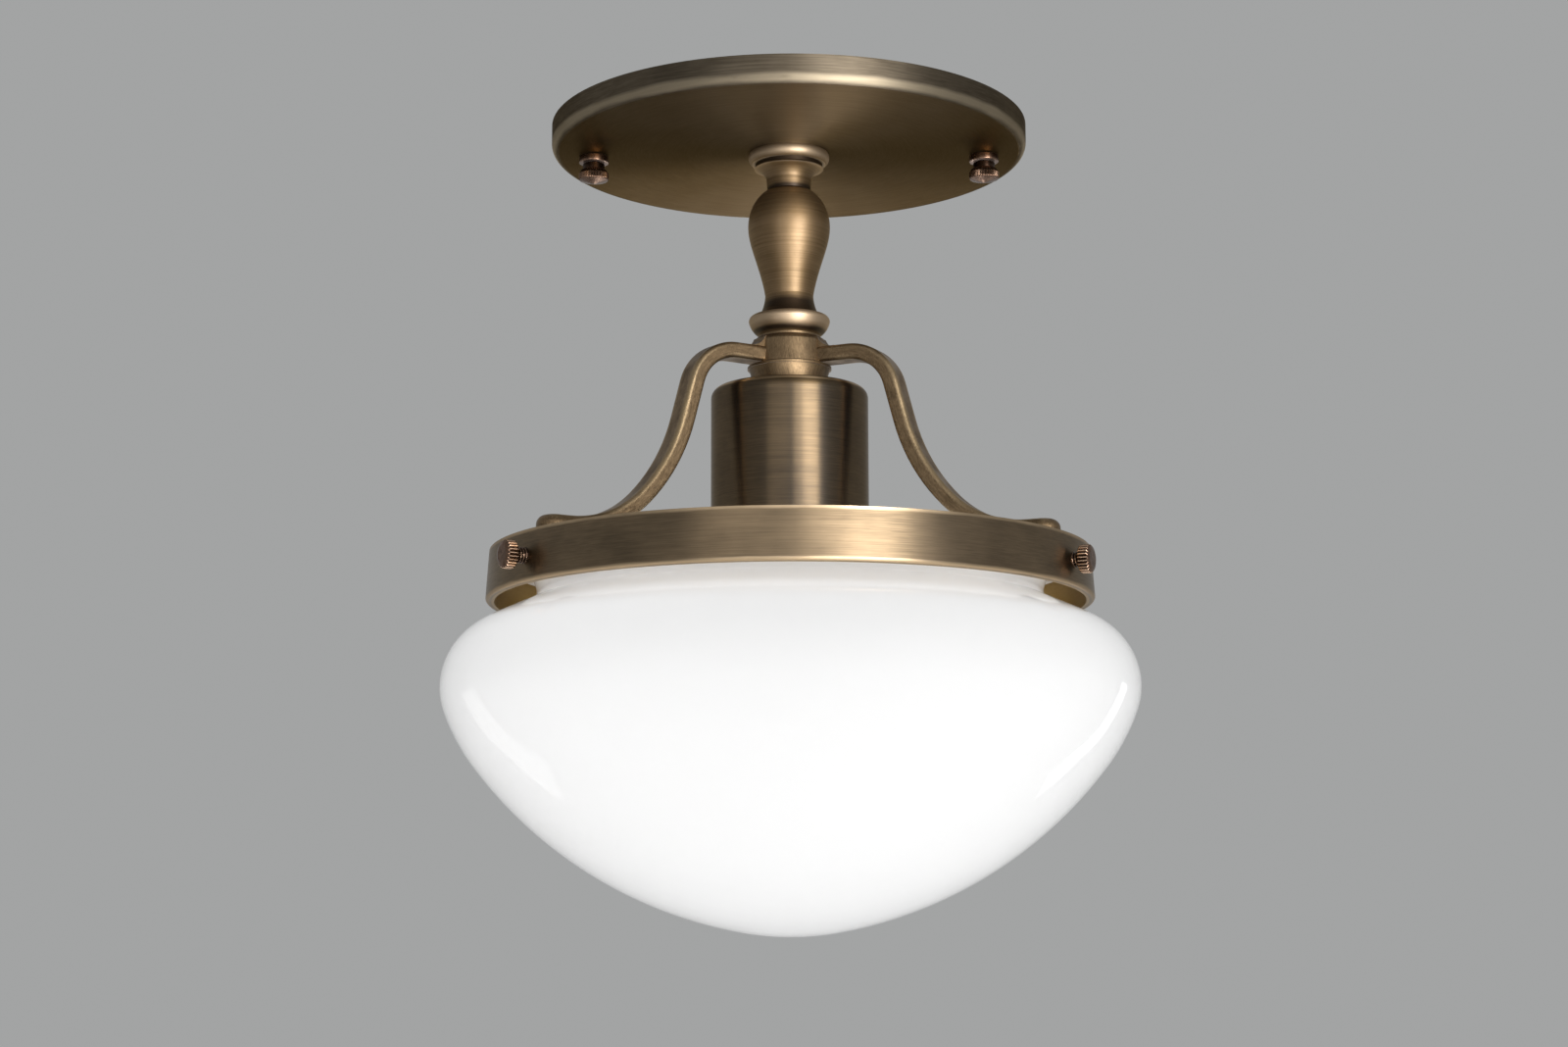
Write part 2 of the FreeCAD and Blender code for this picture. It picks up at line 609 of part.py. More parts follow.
class ArmPath:
    """Side view of an arm: the corners between its straight and curved runs.

    The last bend ends level on the ring, and the level run at the hub takes up what is left
    of the reach.
    """

    def __init__(self):
        steep = math.radians(ARM_STEEP_ANGLE)
        sweep = math.radians(ARM_SWEEP_END_ANGLE)
        root_z = HUB_TOP_Z - ARM_ROOT_DROP
        foot_z = RING_TOP_Z + ARM_THICKNESS / 2
        bend_end_z = root_z - ARM_BEND_R * (1 - math.cos(steep))
        steep_end_z = bend_end_z - ARM_STEEP_LENGTH * math.sin(steep)
        sweep_end_z = steep_end_z - ARM_SWEEP_R * (math.cos(sweep) - math.cos(steep))
        self.foot_bend_r = (sweep_end_z - foot_z) / (1 - math.cos(sweep))
        foot_start = FOOT_END_R - FOOT_FLAT_LENGTH
        sweep_end = foot_start - self.foot_bend_r * math.sin(sweep)
        steep_end = sweep_end - ARM_SWEEP_R * (math.sin(steep) - math.sin(sweep))
        bend_end = steep_end - ARM_STEEP_LENGTH * math.cos(steep)
        bend_start = bend_end - ARM_BEND_R * math.sin(steep)
        self.bend_centre = (bend_start, root_z - ARM_BEND_R)
        self.sweep_centre = (
            steep_end + ARM_SWEEP_R * math.sin(steep),
            steep_end_z + ARM_SWEEP_R * math.cos(steep),
        )
        self.foot_centre = (foot_start, foot_z + self.foot_bend_r)
        self.root_z = root_z
        self.foot_z = foot_z
        self.steep = ARM_STEEP_ANGLE
        self.sweep = ARM_SWEEP_END_ANGLE

    def side(self, offset):
        """Edges of one side of the bar, at an offset from its middle line, from hub to foot."""
        bend = arc_run(self.bend_centre, ARM_BEND_R + offset, 90, 90 - self.steep)
        sweep = arc_run(self.sweep_centre, ARM_SWEEP_R - offset, 270 - self.steep, 270 - self.sweep)
        foot = arc_run(self.foot_centre, self.foot_bend_r - offset, 270 - self.sweep, 270)
        start = rz(ARM_ROOT_R, self.root_z + offset)
        end = rz(FOOT_END_R, self.foot_z + offset)
        return [
            line(start, bend[0]),
            arc(*bend),
            line(bend[2], sweep[0]),
            arc(*sweep),
            arc(*foot),
            line(foot[2], end),
        ]


def arc_run(centre, radius, first, last):
    """First, middle and last point of an arc in the XZ plane, angles in degrees from +X."""
    points = []
    for angle in (first, (first + last) / 2, last):
        turn = math.radians(angle)
        points.append(rz(centre[0] + radius * math.cos(turn), centre[1] + radius * math.sin(turn)))
    return points


def arm_plan():
    """Plan of an arm: parallel sides that flare to a round ended foot."""
    half = ARM_WIDTH / 2
    foot_half = FOOT_WIDTH / 2
    flare_start = FOOT_SCREW_AT - FOOT_FLARE_LENGTH
    start = ARM_ROOT_R - 1
    z_low = RING_TOP_Z - 1

    def at(x, y):
        return V(x, y, z_low)

    def flare(side):
        curve = Part.BezierCurve()
        curve.setPoles([
            at(flare_start, side * half),
            at(flare_start + FOOT_FLARE_LENGTH / 2, side * half),
            at(FOOT_SCREW_AT - FOOT_FLARE_LENGTH / 4, side * foot_half),
            at(FOOT_SCREW_AT, side * foot_half),
        ])
        return curve.toShape()

    edges = [
        line(at(start, -half), at(flare_start, -half)),
        flare(-1),
        arc(at(FOOT_SCREW_AT, -foot_half), at(FOOT_END_R, 0), at(FOOT_SCREW_AT, foot_half)),
        flare(1),
        line(at(flare_start, half), at(start, half)),
        line(at(start, half), at(start, -half)),
    ]
    return Part.Face(closed_wire(edges)).extrude(V(0, 0, HUB_TOP_Z - z_low))


def arm_web():
    """Cast web that runs from the top of an arm up to the shoulder of the hub."""
    arm_top = HUB_TOP_Z - ARM_ROOT_DROP + ARM_THICKNESS / 2
    web_top = HUB_TOP_Z - HUB_NECK_HEIGHT - HUB_SHOULDER_HEIGHT / 2
    outer = HUB_SHOULDER_R + ARM_WEB_REACH
    low = arm_top - ARM_WEB_OVERLAP
    start = rz(HUB_SHOULDER_R - ARM_WEB_OVERLAP, web_top)
    middle = rz(HUB_SHOULDER_R + ARM_WEB_HOLLOW, arm_top + ARM_WEB_HOLLOW_RISE)
    end = rz(outer, arm_top)
    inner_top = rz(ARM_ROOT_R, web_top)
    inner_low = rz(ARM_ROOT_R, low)
    outer_low = rz(outer, low)
    edges = [
        line(inner_top, start),
        arc(start, middle, end),
        line(end, outer_low),
        line(outer_low, inner_low),
        line(inner_low, inner_top),
    ]
    web = Part.Face(closed_wire(edges)).extrude(V(0, ARM_WEB_WIDTH, 0))
    web.translate(V(0, -ARM_WEB_WIDTH / 2, 0))
    return web


def arm_bar():
    """One arm along +X: its side view and its plan cut from one bar, with rounded edges."""
    path = ArmPath()
    half = ARM_THICKNESS / 2
    edges = path.side(half) + path.side(-half)
    for radius, middle in ((ARM_ROOT_R, path.root_z), (FOOT_END_R, path.foot_z)):
        edges.append(line(rz(radius, middle + half), rz(radius, middle - half)))
    width = 2 * FOOT_WIDTH
    side_view = Part.Face(closed_wire(edges)).extrude(V(0, width, 0))
    side_view.translate(V(0, -width / 2, 0))
    bar = side_view.common(arm_plan())
    return bar.Solids[0]


def edge_radius(point):
    """Radius of an arm's rounded edges at a point: it grows along the flare of the foot."""
    flare_start = FOOT_SCREW_AT - FOOT_FLARE_LENGTH
    share = min(1.0, max(0.0, (point.x - flare_start) / FOOT_FLARE_LENGTH))
    if point.z < RING_TOP_Z + ARM_THICKNESS / 2:
        share = 0.0
    return ARM_EDGE_R + share * (FOOT_END_EDGE_R - ARM_EDGE_R)


def rounded_bar(bar):
    """Bar with its edges rounded, past the hub and above the face that sits on the ring."""
    radii = []
    for number, edge in enumerate(bar.Edges, 1):
        box = edge.BoundBox
        along = box.XMin > ARM_ROUNDING_START and (box.XLength > 0.5 or box.ZLength > ARM_THICKNESS)
        on_ring = box.ZMax < RING_TOP_Z + 0.1
        if along and not on_ring:
            ends = (edge.valueAt(edge.FirstParameter), edge.valueAt(edge.LastParameter))
            radii.append((number, edge_radius(ends[0]), edge_radius(ends[1])))
    document = FreeCAD.newDocument()
    base = document.addObject("Part::Feature", "base")
    base.Shape = bar
    fillet = document.addObject("Part::Fillet", "fillet")
    fillet.Base = base
    fillet.Edges = radii
    document.recompute()
    return fillet.Shape.copy()


def arm_spider():
    """Hub and three arms cast as one, bored for the pipe, with tapped feet."""
    bar = rounded_bar(arm_bar())
    hole_r = FOOT_SCREW_R + TAPPED_CLEARANCE
    hole_top = RING_TOP_Z - RING_FLANGE_THICKNESS + FOOT_SCREW_LENGTH + PIPE_CLEARANCE
    arm = bar.fuse(arm_web()).cut(cylinder(hole_r, RING_TOP_Z - 1, hole_top, FOOT_SCREW_AT))
    casting = hub().fuse([turned(arm, angle) for angle in arm_angles()])
    return casting.cut(cylinder(PIPE_R + PIPE_CLEARANCE, CUP_TOP_Z - 1, HUB_TOP_Z + 1)).removeSplitter()


def arm_angles():
    """Directions of the arms and fitter screws: right front, back and left front."""
    return [90 + HOLDER_TURN + 360 / ARM_COUNT * (k - 1) for k in range(ARM_COUNT)]


def fitter_ring():
    """Band with a slight outward taper, a rounded lower edge and an inward top flange."""
    base_z = RING_TOP_Z - RING_HEIGHT
    flange_z = RING_TOP_Z - RING_FLANGE_THICKNESS
    wall = [
        (RING_TOP_R, RING_TOP_Z),
        (RING_BASE_R, base_z),
        (RING_BASE_R - RING_WALL, base_z),
        (RING_INNER_R + RING_TAPER * RING_FLANGE_THICKNESS / RING_HEIGHT, flange_z),
        (FLANGE_BORE_R, flange_z),
        (FLANGE_BORE_R, RING_TOP_Z),
    ]
    band = revolve(outline(wall))
    lower = [edge for edge in band.Edges if edge.BoundBox.ZMax < base_z + 0.01 and edge.Length > 1]
    rounded = [edge for edge in lower if abs(edge.BoundBox.XMax - RING_BASE_R) < 0.1]
    band = band.makeFillet(RING_EDGE_R, rounded)
    for angle in arm_angles():
        start = V(RING_INNER_R - 1, 0, FITTER_SCREW_Z)
        hole = Part.makeCylinder(SCREW_R + TAPPED_CLEARANCE, 3 * RING_WALL, start, V(1, 0, 0))
        sink = foot_screw_shape(TAPPED_CLEARANCE)
        band = band.cut([turned(hole, angle), turned(sink, angle)])
    return band


def foot_screw_shape(clearance):
    """Flat head screw pointing up through the flange, grown by a clearance on its sides."""
    head_base = RING_TOP_Z - RING_FLANGE_THICKNESS
    shank = cylinder(FOOT_SCREW_R + clearance, head_base, head_base + FOOT_SCREW_LENGTH, FOOT_SCREW_AT)
    head = Part.makeCone(
        FOOT_SCREW_HEAD_R + clearance,
        FOOT_SCREW_R + clearance,
        FOOT_SCREW_HEAD_HEIGHT,
        V(FOOT_SCREW_AT, 0, head_base),
    )
    return shank.fuse(head)


def foot_screw(angle):
    return turned(foot_screw_shape(0.0), angle)


def ring_outer_r(z):
    """Radius of the tapered outer face of the band at a height."""
    return RING_TOP_R + RING_TAPER * (RING_TOP_Z - z) / RING_HEIGHT


def fitter_thumbscrew(angle, gap):
    """Knurled screw that points at the axis: tip, thread and head with bevelled end."""
    head_start = ring_outer_r(FITTER_SCREW_Z) + gap
    tip = head_start - FITTER_SHANK_LENGTH
    shank = cylinder(SCREW_R, tip + FITTER_TIP_CHAMFER, head_start)
    point = Part.makeCone(FITTER_TIP_R, SCREW_R, FITTER_TIP_CHAMFER, V(0, 0, tip))
    bevel_start = head_start + FITTER_HEAD_LENGTH - FITTER_HEAD_BEVEL
    root_r = FITTER_HEAD_R - FITTER_KNURL_DEPTH
    rim = knurled_rim(FITTER_HEAD_R, FITTER_KNURL_COUNT, FITTER_KNURL_DEPTH, head_start, bevel_start)
    end = V(0, 0, bevel_start)
    bevel = Part.makeCone(root_r, root_r - FITTER_HEAD_BEVEL, FITTER_HEAD_BEVEL, end)
    screw = shank.fuse([point, rim, bevel])
    screw.rotate(V(0, 0, 0), V(0, 1, 0), 90)
    screw.translate(V(0, 0, FITTER_SCREW_Z))
    return turned(screw, angle)


def socket_cup():
    """Drawn cup with a rounded top corner, open at the bottom."""
    base_z = CUP_TOP_Z - CUP_HEIGHT
    outside = cylinder(CUP_R, base_z, CUP_TOP_Z)
    outside = outside.makeFillet(CUP_EDGE_R, [top_edge(outside)])
    inside = cylinder(CUP_R - CUP_WALL, base_z - 1, CUP_INNER_Z)
    inside = inside.makeFillet(CUP_EDGE_R - CUP_WALL, [top_edge(inside)])
    return outside.cut([inside, cylinder(PIPE_R + PIPE_CLEARANCE, CUP_INNER_Z - 1, CUP_TOP_Z + 1)])


def top_edge(shape):
    """Highest round edge of an upright cylinder."""
    level = [edge for edge in shape.Edges if edge.BoundBox.ZLength < 0.01]
    return max(level, key=lambda edge: edge.BoundBox.ZMax)


def socket_bracket():
    """Steel plate with a tapped collar, held to the porcelain by two screws."""
    plate = cylinder(BRACKET_R, PORCELAIN_TOP_Z, BRACKET_TOP_Z)
    collar = cylinder(BRACKET_COLLAR_R, PORCELAIN_TOP_Z - BRACKET_COLLAR_LENGTH, PORCELAIN_TOP_Z)
    bore = cylinder(PIPE_R + PIPE_TAPPED_CLEARANCE, PORCELAIN_MOUTH_Z, BRACKET_TOP_Z + 1)
    holes = []
    for side in (-1, 1):
        hole_r = BRACKET_SCREW_R + SMALL_SCREW_CLEARANCE
        holes.append(cylinder(hole_r, PORCELAIN_TOP_Z - 1, BRACKET_TOP_Z + 1, side * BRACKET_SCREW_AT))
        flat = Part.makeBox(2 * BRACKET_R, BRACKET_R, 2 * BRACKET_THICKNESS)
        flat.translate(V(-BRACKET_R, 0, PORCELAIN_TOP_Z))
        flat.translate(V(0, PORCELAIN_R - TERMINAL_POCKET_DEPTH - BRACKET_FLAT_MARGIN, 0))
        holes.append(flat if side > 0 else turned(flat, 180))
    return plate.fuse(collar).cut([bore] + holes)


def bracket_screw(side):
    """Pan head screw from above, through the plate into the porcelain."""
    x = side * BRACKET_SCREW_AT
    shank = cylinder(BRACKET_SCREW_R, BRACKET_TOP_Z - BRACKET_SCREW_LENGTH, BRACKET_TOP_Z, x)
    head = cylinder(BRACKET_SCREW_HEAD_R, BRACKET_TOP_Z, BRACKET_TOP_Z + BRACKET_SCREW_HEAD_HEIGHT, x)
    head = head.makeFillet(0.5 * BRACKET_SCREW_HEAD_HEIGHT, [top_edge(head)])
    drive = Part.makeBox(BRACKET_DRIVE_WIDTH, 4 * BRACKET_SCREW_HEAD_R, BRACKET_DRIVE_DEPTH)
    drive_z = BRACKET_TOP_Z + BRACKET_SCREW_HEAD_HEIGHT - BRACKET_DRIVE_DEPTH
    drive.translate(V(x - BRACKET_DRIVE_WIDTH / 2, -2 * BRACKET_SCREW_HEAD_R, drive_z))
    return shank.fuse(head).cut(drive)


def porcelain_body():
    """Porcelain barrel: recess for the collar, floor, bore for the shell, side pockets."""
    barrel = cylinder(PORCELAIN_R, PORCELAIN_MOUTH_Z, PORCELAIN_TOP_Z)
    rims = [edge for edge in barrel.Edges if edge.BoundBox.ZLength < 0.01]
    barrel = barrel.makeFillet(PORCELAIN_EDGE_R, rims)
    recess_r = BRACKET_COLLAR_R + PORCELAIN_RECESS_CLEARANCE
    cuts = [
        cylinder(recess_r, PORCELAIN_TOP_Z - RECESS_DEPTH, PORCELAIN_TOP_Z + 1),
        cylinder(SHELL_R + SHELL_SEAT_GAP, PORCELAIN_MOUTH_Z - 1, SHELL_TOP_Z),
        cylinder(RIVET_R + SMALL_SCREW_CLEARANCE, SHELL_TOP_Z - 1, PORCELAIN_TOP_Z, RIVET_X),
    ]
    for side in (-1, 1):
        hole_r = BRACKET_SCREW_R + SMALL_SCREW_CLEARANCE
        hole_low = BRACKET_TOP_Z - BRACKET_SCREW_LENGTH - PIPE_CLEARANCE
        cuts.append(cylinder(hole_r, hole_low, PORCELAIN_TOP_Z + 1, side * BRACKET_SCREW_AT))
        pocket = Part.makeBox(TERMINAL_POCKET_WIDTH, 2 * TERMINAL_POCKET_DEPTH, 2 * TERMINAL_POCKET_HEIGHT)
        pocket.translate(V(-TERMINAL_POCKET_WIDTH / 2, PORCELAIN_R - TERMINAL_POCKET_DEPTH, 0))
        pocket.translate(V(0, 0, PORCELAIN_TOP_Z - TERMINAL_POCKET_HEIGHT))
        pocket = pocket.fuse(terminal_shank(TAPPED_CLEARANCE, PIPE_CLEARANCE))
        cuts.append(pocket if side > 0 else turned(pocket, 180))
    return barrel.cut(cuts)


def terminal_shank(side_clearance, end_clearance):
    """Shank of a terminal screw, inwards from the back of its pocket towards +Y."""
    back = PORCELAIN_R - TERMINAL_POCKET_DEPTH
    length = TERMINAL_SHANK_LENGTH + end_clearance
    z = PORCELAIN_TOP_Z - TERMINAL_POCKET_HEIGHT / 2
    radius = TERMINAL_SHANK_R + side_clearance
    return Part.makeCylinder(radius, length, V(0, back - length, z), V(0, 1, 0))


def terminal_screw(side):
    """Terminal screw with a slotted head, lying in its pocket."""
    back = PORCELAIN_R - TERMINAL_POCKET_DEPTH
    z = PORCELAIN_TOP_Z - TERMINAL_POCKET_HEIGHT / 2
    head = Part.makeCylinder(TERMINAL_HEAD_R, TERMINAL_HEAD_HEIGHT, V(0, back, z), V(0, 1, 0))
    drive = Part.makeBox(2 * TERMINAL_HEAD_R, TERMINAL_HEAD_HEIGHT, TERMINAL_DRIVE_WIDTH)
    drive_y = back + TERMINAL_HEAD_HEIGHT - TERMINAL_DRIVE_DEPTH
    drive.translate(V(-TERMINAL_HEAD_R, drive_y, z - TERMINAL_DRIVE_WIDTH / 2))
    screw = terminal_shank(0.0, 0.0).fuse(head).cut(drive)
    return screw if side > 0 else turned(screw, 180)


def thread_profile(radius, depth, z_top, z_end, count):
    """Wavy line down a rolled thread: round crests and roots, as radius and z."""
    pitch = (z_top - z_end) / count
    points = []
    for k in range(4 * count + 1):
        wave = (0.0, 0.7, 1.0, 0.7)[k % 4] if k < 4 * count else 0.0
        points.append((radius - depth * (1 - wave), z_top - pitch * k / 4))
    return points


def rolled_shell(radius, depth, wall, z_top, z_end):
    """Thin shell with rolled thread waves, as an outline of its outer and inner side."""
    count = max(1, round((z_top - z_end) / THREAD_PITCH))
    outer = thread_profile(radius, depth, z_top, z_end, count)
    inner = [(r - wall, z) for r, z in reversed(outer)]
    return outer + inner


def screw_shell():
    """Brass screw shell of the lampholder: flanged top against the porcelain floor."""
    end_z = PORCELAIN_MOUTH_Z + SHELL_MOUTH_INSET
    wall = tube(SHELL_R, SHELL_R - SHELL_WALL, end_z, SHELL_TOP_Z)
    flange = tube(SHELL_R, SHELL_WINDOW_R, SHELL_TOP_Z - SHELL_WALL, SHELL_TOP_Z)
    return wall.fuse(flange)


def centre_contact():
    """Brass tongue: foot on the porcelain floor, slope, and a flat end over the bulb's tip."""
    foot_end = SHELL_WINDOW_R - CONTACT_EDGE_GAP
    foot_start = RIVET_X - RIVET_HEAD_R
    low = CONTACT_Z
    top = SHELL_TOP_Z
    points = [
        (foot_end, top),
        (foot_end, top - CONTACT_THICKNESS),
        (foot_start, top - CONTACT_THICKNESS),
        (foot_start - CONTACT_DROP / 2, low - CONTACT_THICKNESS),
        (-CONTACT_REACH, low - CONTACT_THICKNESS),
        (-CONTACT_REACH, low),
        (foot_start - CONTACT_DROP / 2 - CONTACT_BEND_SHIFT, low),
        (foot_start - CONTACT_BEND_SHIFT, top),
    ]
    tongue = Part.Face(outline(points)).extrude(V(0, CONTACT_WIDTH, 0))
    tongue.translate(V(0, -CONTACT_WIDTH / 2, 0))
    hole_r = RIVET_R + SMALL_SCREW_CLEARANCE
    return tongue.cut(cylinder(hole_r, top - 2 * CONTACT_THICKNESS, top + 1, RIVET_X))


def contact_rivet():
    """Rivet that holds the tongue to the porcelain floor, headed at both ends."""
    low = SHELL_TOP_Z - CONTACT_THICKNESS
    high = SHELL_TOP_Z + PORCELAIN_FLOOR
    shank = cylinder(RIVET_R, low, high, RIVET_X)
    lower = cylinder(RIVET_HEAD_R, low - RIVET_HEAD_HEIGHT, low, RIVET_X)
    upper = cylinder(RIVET_HEAD_R, high, high + RIVET_HEAD_HEIGHT, RIVET_X)
    return shank.fuse([lower, upper])


def bulb_contact():
    """Solder tip of the bulb, a low dome on the insulator."""
    tip_z = BULB_TOP_Z
    base_z = tip_z - BULB_TIP_HEIGHT
    edges = [
        arc(rz(0, tip_z), rz(0.75 * BULB_TIP_R, tip_z - 0.3 * BULB_TIP_HEIGHT), rz(BULB_TIP_R, base_z)),
        line(rz(BULB_TIP_R, base_z), rz(0, base_z)),
        line(rz(0, base_z), rz(0, tip_z)),
    ]
    return revolve(closed_wire(edges))


def bulb_insulator():
    """Dark glass cone between the tip and the screw base."""
    top_z = BULB_TOP_Z - BULB_TIP_HEIGHT
    end_z = top_z - BULB_INSULATOR_HEIGHT
    top_r = BULB_TIP_R + BULB_INSULATOR_STEP
    points = [(0, top_z), (top_r, top_z), (BULB_INSULATOR_R, end_z), (0, end_z)]
    return revolve(outline(points))


def bulb_base():
    """Rolled screw base of the bulb, with a plain skirt that holds the glass."""
    top_z = BULB_TOP_Z - BULB_TIP_HEIGHT - BULB_INSULATOR_HEIGHT
    thread_end = top_z - BULB_BASE_LENGTH + BULB_GLASS_SEAT
    end_z = top_z - BULB_BASE_LENGTH
    start_z = top_z - BULB_THREAD_START
    root_r = BULB_BASE_R - BULB_THREAD_DEPTH
    rolled = rolled_shell(BULB_BASE_R, BULB_THREAD_DEPTH, BULB_BASE_WALL, start_z, thread_end)
    shell = revolve(outline(rolled))
    skirt = tube(BULB_BASE_SKIRT_R, root_r - BULB_BASE_WALL, end_z, thread_end)
    top = tube(root_r, BULB_INSULATOR_R - BULB_GLASS_OVERLAP, start_z, top_z)
    return shell.fuse([skirt, top])


def bulb_glass():
    """Pear shaped envelope: neck in the skirt, flare, and round end."""
    neck_top = BULB_TOP_Z - BULB_TIP_HEIGHT - BULB_INSULATOR_HEIGHT - BULB_BASE_LENGTH + BULB_GLASS_SEAT
    globe_z = BULB_TOP_Z - BULB_LENGTH + BULB_R
    neck_r = BULB_BASE_R - BULB_THREAD_DEPTH - BULB_BASE_WALL - BULB_GLASS_CLEARANCE
    outer = envelope(neck_r, neck_top, BULB_R, globe_z)
    inner = envelope(neck_r - BULB_GLASS_WALL, neck_top + 1, BULB_R - BULB_GLASS_WALL, globe_z)
    return outer.cut(inner)


def envelope(neck_r, neck_top, globe_r, globe_z):
    """Solid of revolution of a bulb's outline with a neck radius and a globe radius."""
    neck_end = neck_top - BULB_GLASS_SEAT - BULB_NECK_LENGTH
    curve = Part.BezierCurve()
    curve.setPoles([
        rz(neck_r, neck_end),
        rz(neck_r, neck_end - BULB_NECK_PULL),
        rz(globe_r, globe_z + BULB_GLOBE_PULL),
        rz(globe_r, globe_z),
    ])
    diagonal = math.sqrt(0.5)
    edges = [
        line(rz(0, neck_top), rz(neck_r, neck_top)),
        line(rz(neck_r, neck_top), rz(neck_r, neck_end)),
        curve.toShape(),
        arc(
            rz(globe_r, globe_z),
            rz(globe_r * diagonal, globe_z - globe_r * diagonal),
            rz(0, globe_z - globe_r),
        ),
        line(rz(0, globe_z - globe_r), rz(0, neck_top)),
    ]
    return revolve(closed_wire(edges))


def shade_side(inset):
    """Edges of the shade's outline from the neck down to the pole, inset from the outer face.

    Angles are those of the outward normal from straight down. Each arc starts where the one
    before it ends, so the outline has no corner, and the last arc ends square on the axis.
    """
    slope = math.radians(SHOULDER_SLOPE)
    cove = (WAIST_R + WAIST_COVE_R, WAIST_Z)
    cove_r = WAIST_COVE_R + inset
    cove_points = arc_run(cove, cove_r, 90 + NECK_SLOPE, 270 - SHOULDER_SLOPE)
    edges = [arc(*cove_points)]
    here = cove_points[2]
    step = V(SHOULDER_LENGTH * math.cos(slope), 0, -SHOULDER_LENGTH * math.sin(slope))
    edges.append(line(here, here + step))
    here = here + step
    angle = 180 - SHOULDER_SLOPE
    for radius, end in (
        (SHOULDER_R, SIDE_UPPER_ANGLE),
        (SIDE_UPPER_R, SIDE_LOWER_ANGLE),
        (SIDE_LOWER_R, POLE_ANGLE),
    ):
        points = normal_arc(here, radius - inset, angle, end)
        edges.append(arc(*points))
        here = points[2]
        angle = end
    points = normal_arc(here, here.x / math.sin(math.radians(POLE_ANGLE)), angle, 0)
    edges.append(arc(points[0], points[1], rz(0, points[2].z)))
    return edges


def normal_arc(start, radius, first, last):
    """Points of a convex arc from a start point, between two normal angles from straight down."""
    turn = math.radians(first)
    centre = (start.x - radius * math.sin(turn), start.z + radius * math.cos(turn))
    return arc_run(centre, radius, first - 90, last - 90)


def glass_shade():
    """Opal glass bowl: fitter lip, waist, rounded shoulder and a long round bottom."""
    outer = shade_side(0.0)
    inner = shade_side(GLASS_WALL)
    neck_top = outer[0].Vertexes[0].Point
    neck_in = inner[0].Vertexes[0].Point
    pole = outer[-1].Vertexes[-1].Point
    pole_in = inner[-1].Vertexes[-1].Point
    lip_base = LIP_TOP_Z - LIP_THICKNESS
    lean = 1 / math.tan(math.radians(NECK_SLOPE))
    corner_r = neck_top.x + (lip_base - NECK_CORNER_R - neck_top.z) * lean
    mouth_r = neck_in.x + (LIP_TOP_Z - neck_in.z) * lean
    bead = LIP_THICKNESS / 2
    edges = outer + inner + [
        line(neck_top, rz(corner_r, lip_base - NECK_CORNER_R)),
        arc(
            rz(corner_r, lip_base - NECK_CORNER_R),
            rz(corner_r + 0.4 * NECK_CORNER_R, lip_base - 0.3 * NECK_CORNER_R),
            rz(corner_r + 1.3 * NECK_CORNER_R, lip_base),
        ),
        line(rz(corner_r + 1.3 * NECK_CORNER_R, lip_base), rz(LIP_R - bead, lip_base)),
        arc(rz(LIP_R - bead, lip_base), rz(LIP_R, lip_base + bead), rz(LIP_R - bead, LIP_TOP_Z)),
        line(rz(LIP_R - bead, LIP_TOP_Z), rz(mouth_r, LIP_TOP_Z)),
        line(rz(mouth_r, LIP_TOP_Z), neck_in),
        line(pole_in, pole),
    ]
    return revolve(closed_wire(edges))


def main():
    os.makedirs("parts", exist_ok=True)
    write("canopy", canopy())
    write("crossbar", crossbar())
    write("ground_screw", ground_screw())
    for name, side in (("left", -1), ("right", 1)):
        write("canopy_collar_" + name, canopy_collar(side))
        write("canopy_thumbscrew_" + name, canopy_thumbscrew(side))
        write("bracket_screw_" + name, bracket_screw(side))
    write("upper_nipple", upper_nipple())
    write("canopy_lock_washer", tooth_washer(CANOPY_INNER_Z))
    write("canopy_lock_nut", lock_nut(CANOPY_INNER_Z + WASHER_THICKNESS))
    write("column", column())
    write("lower_nipple", lower_nipple())
    write("arm_spider", arm_spider())
    write("fitter_ring", fitter_ring())
    for name, angle, gap in zip(("right", "back", "left"), arm_angles(), FITTER_SCREW_GAPS):
        write("foot_screw_" + name, foot_screw(angle))
        write("fitter_thumbscrew_" + name, fitter_thumbscrew(angle, gap))
    write("socket_cup", socket_cup())
    write("socket_lock_washer", tooth_washer(CUP_INNER_Z - WASHER_THICKNESS))
    write("socket_lock_nut", lock_nut(CUP_INNER_Z - WASHER_THICKNESS - NUT_THICKNESS))
    write("socket_bracket", socket_bracket())
    write("porcelain_body", porcelain_body())
    write("screw_shell", screw_shell())
    write("centre_contact", centre_contact())
    write("contact_rivet", contact_rivet())
    write("terminal_screw_line", terminal_screw(1))
    write("terminal_screw_neutral", terminal_screw(-1))
    write("glass_shade", glass_shade())
    write("bulb_contact", bulb_contact())
    write("bulb_insulator", bulb_insulator())
    write("bulb_base", bulb_base())
    write("bulb_glass", bulb_glass())


main()
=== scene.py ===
import json
import logging
import math
from dataclasses import dataclass, field
from enum import Enum

import bpy
import numpy as np
from mathutils import Matrix, Vector

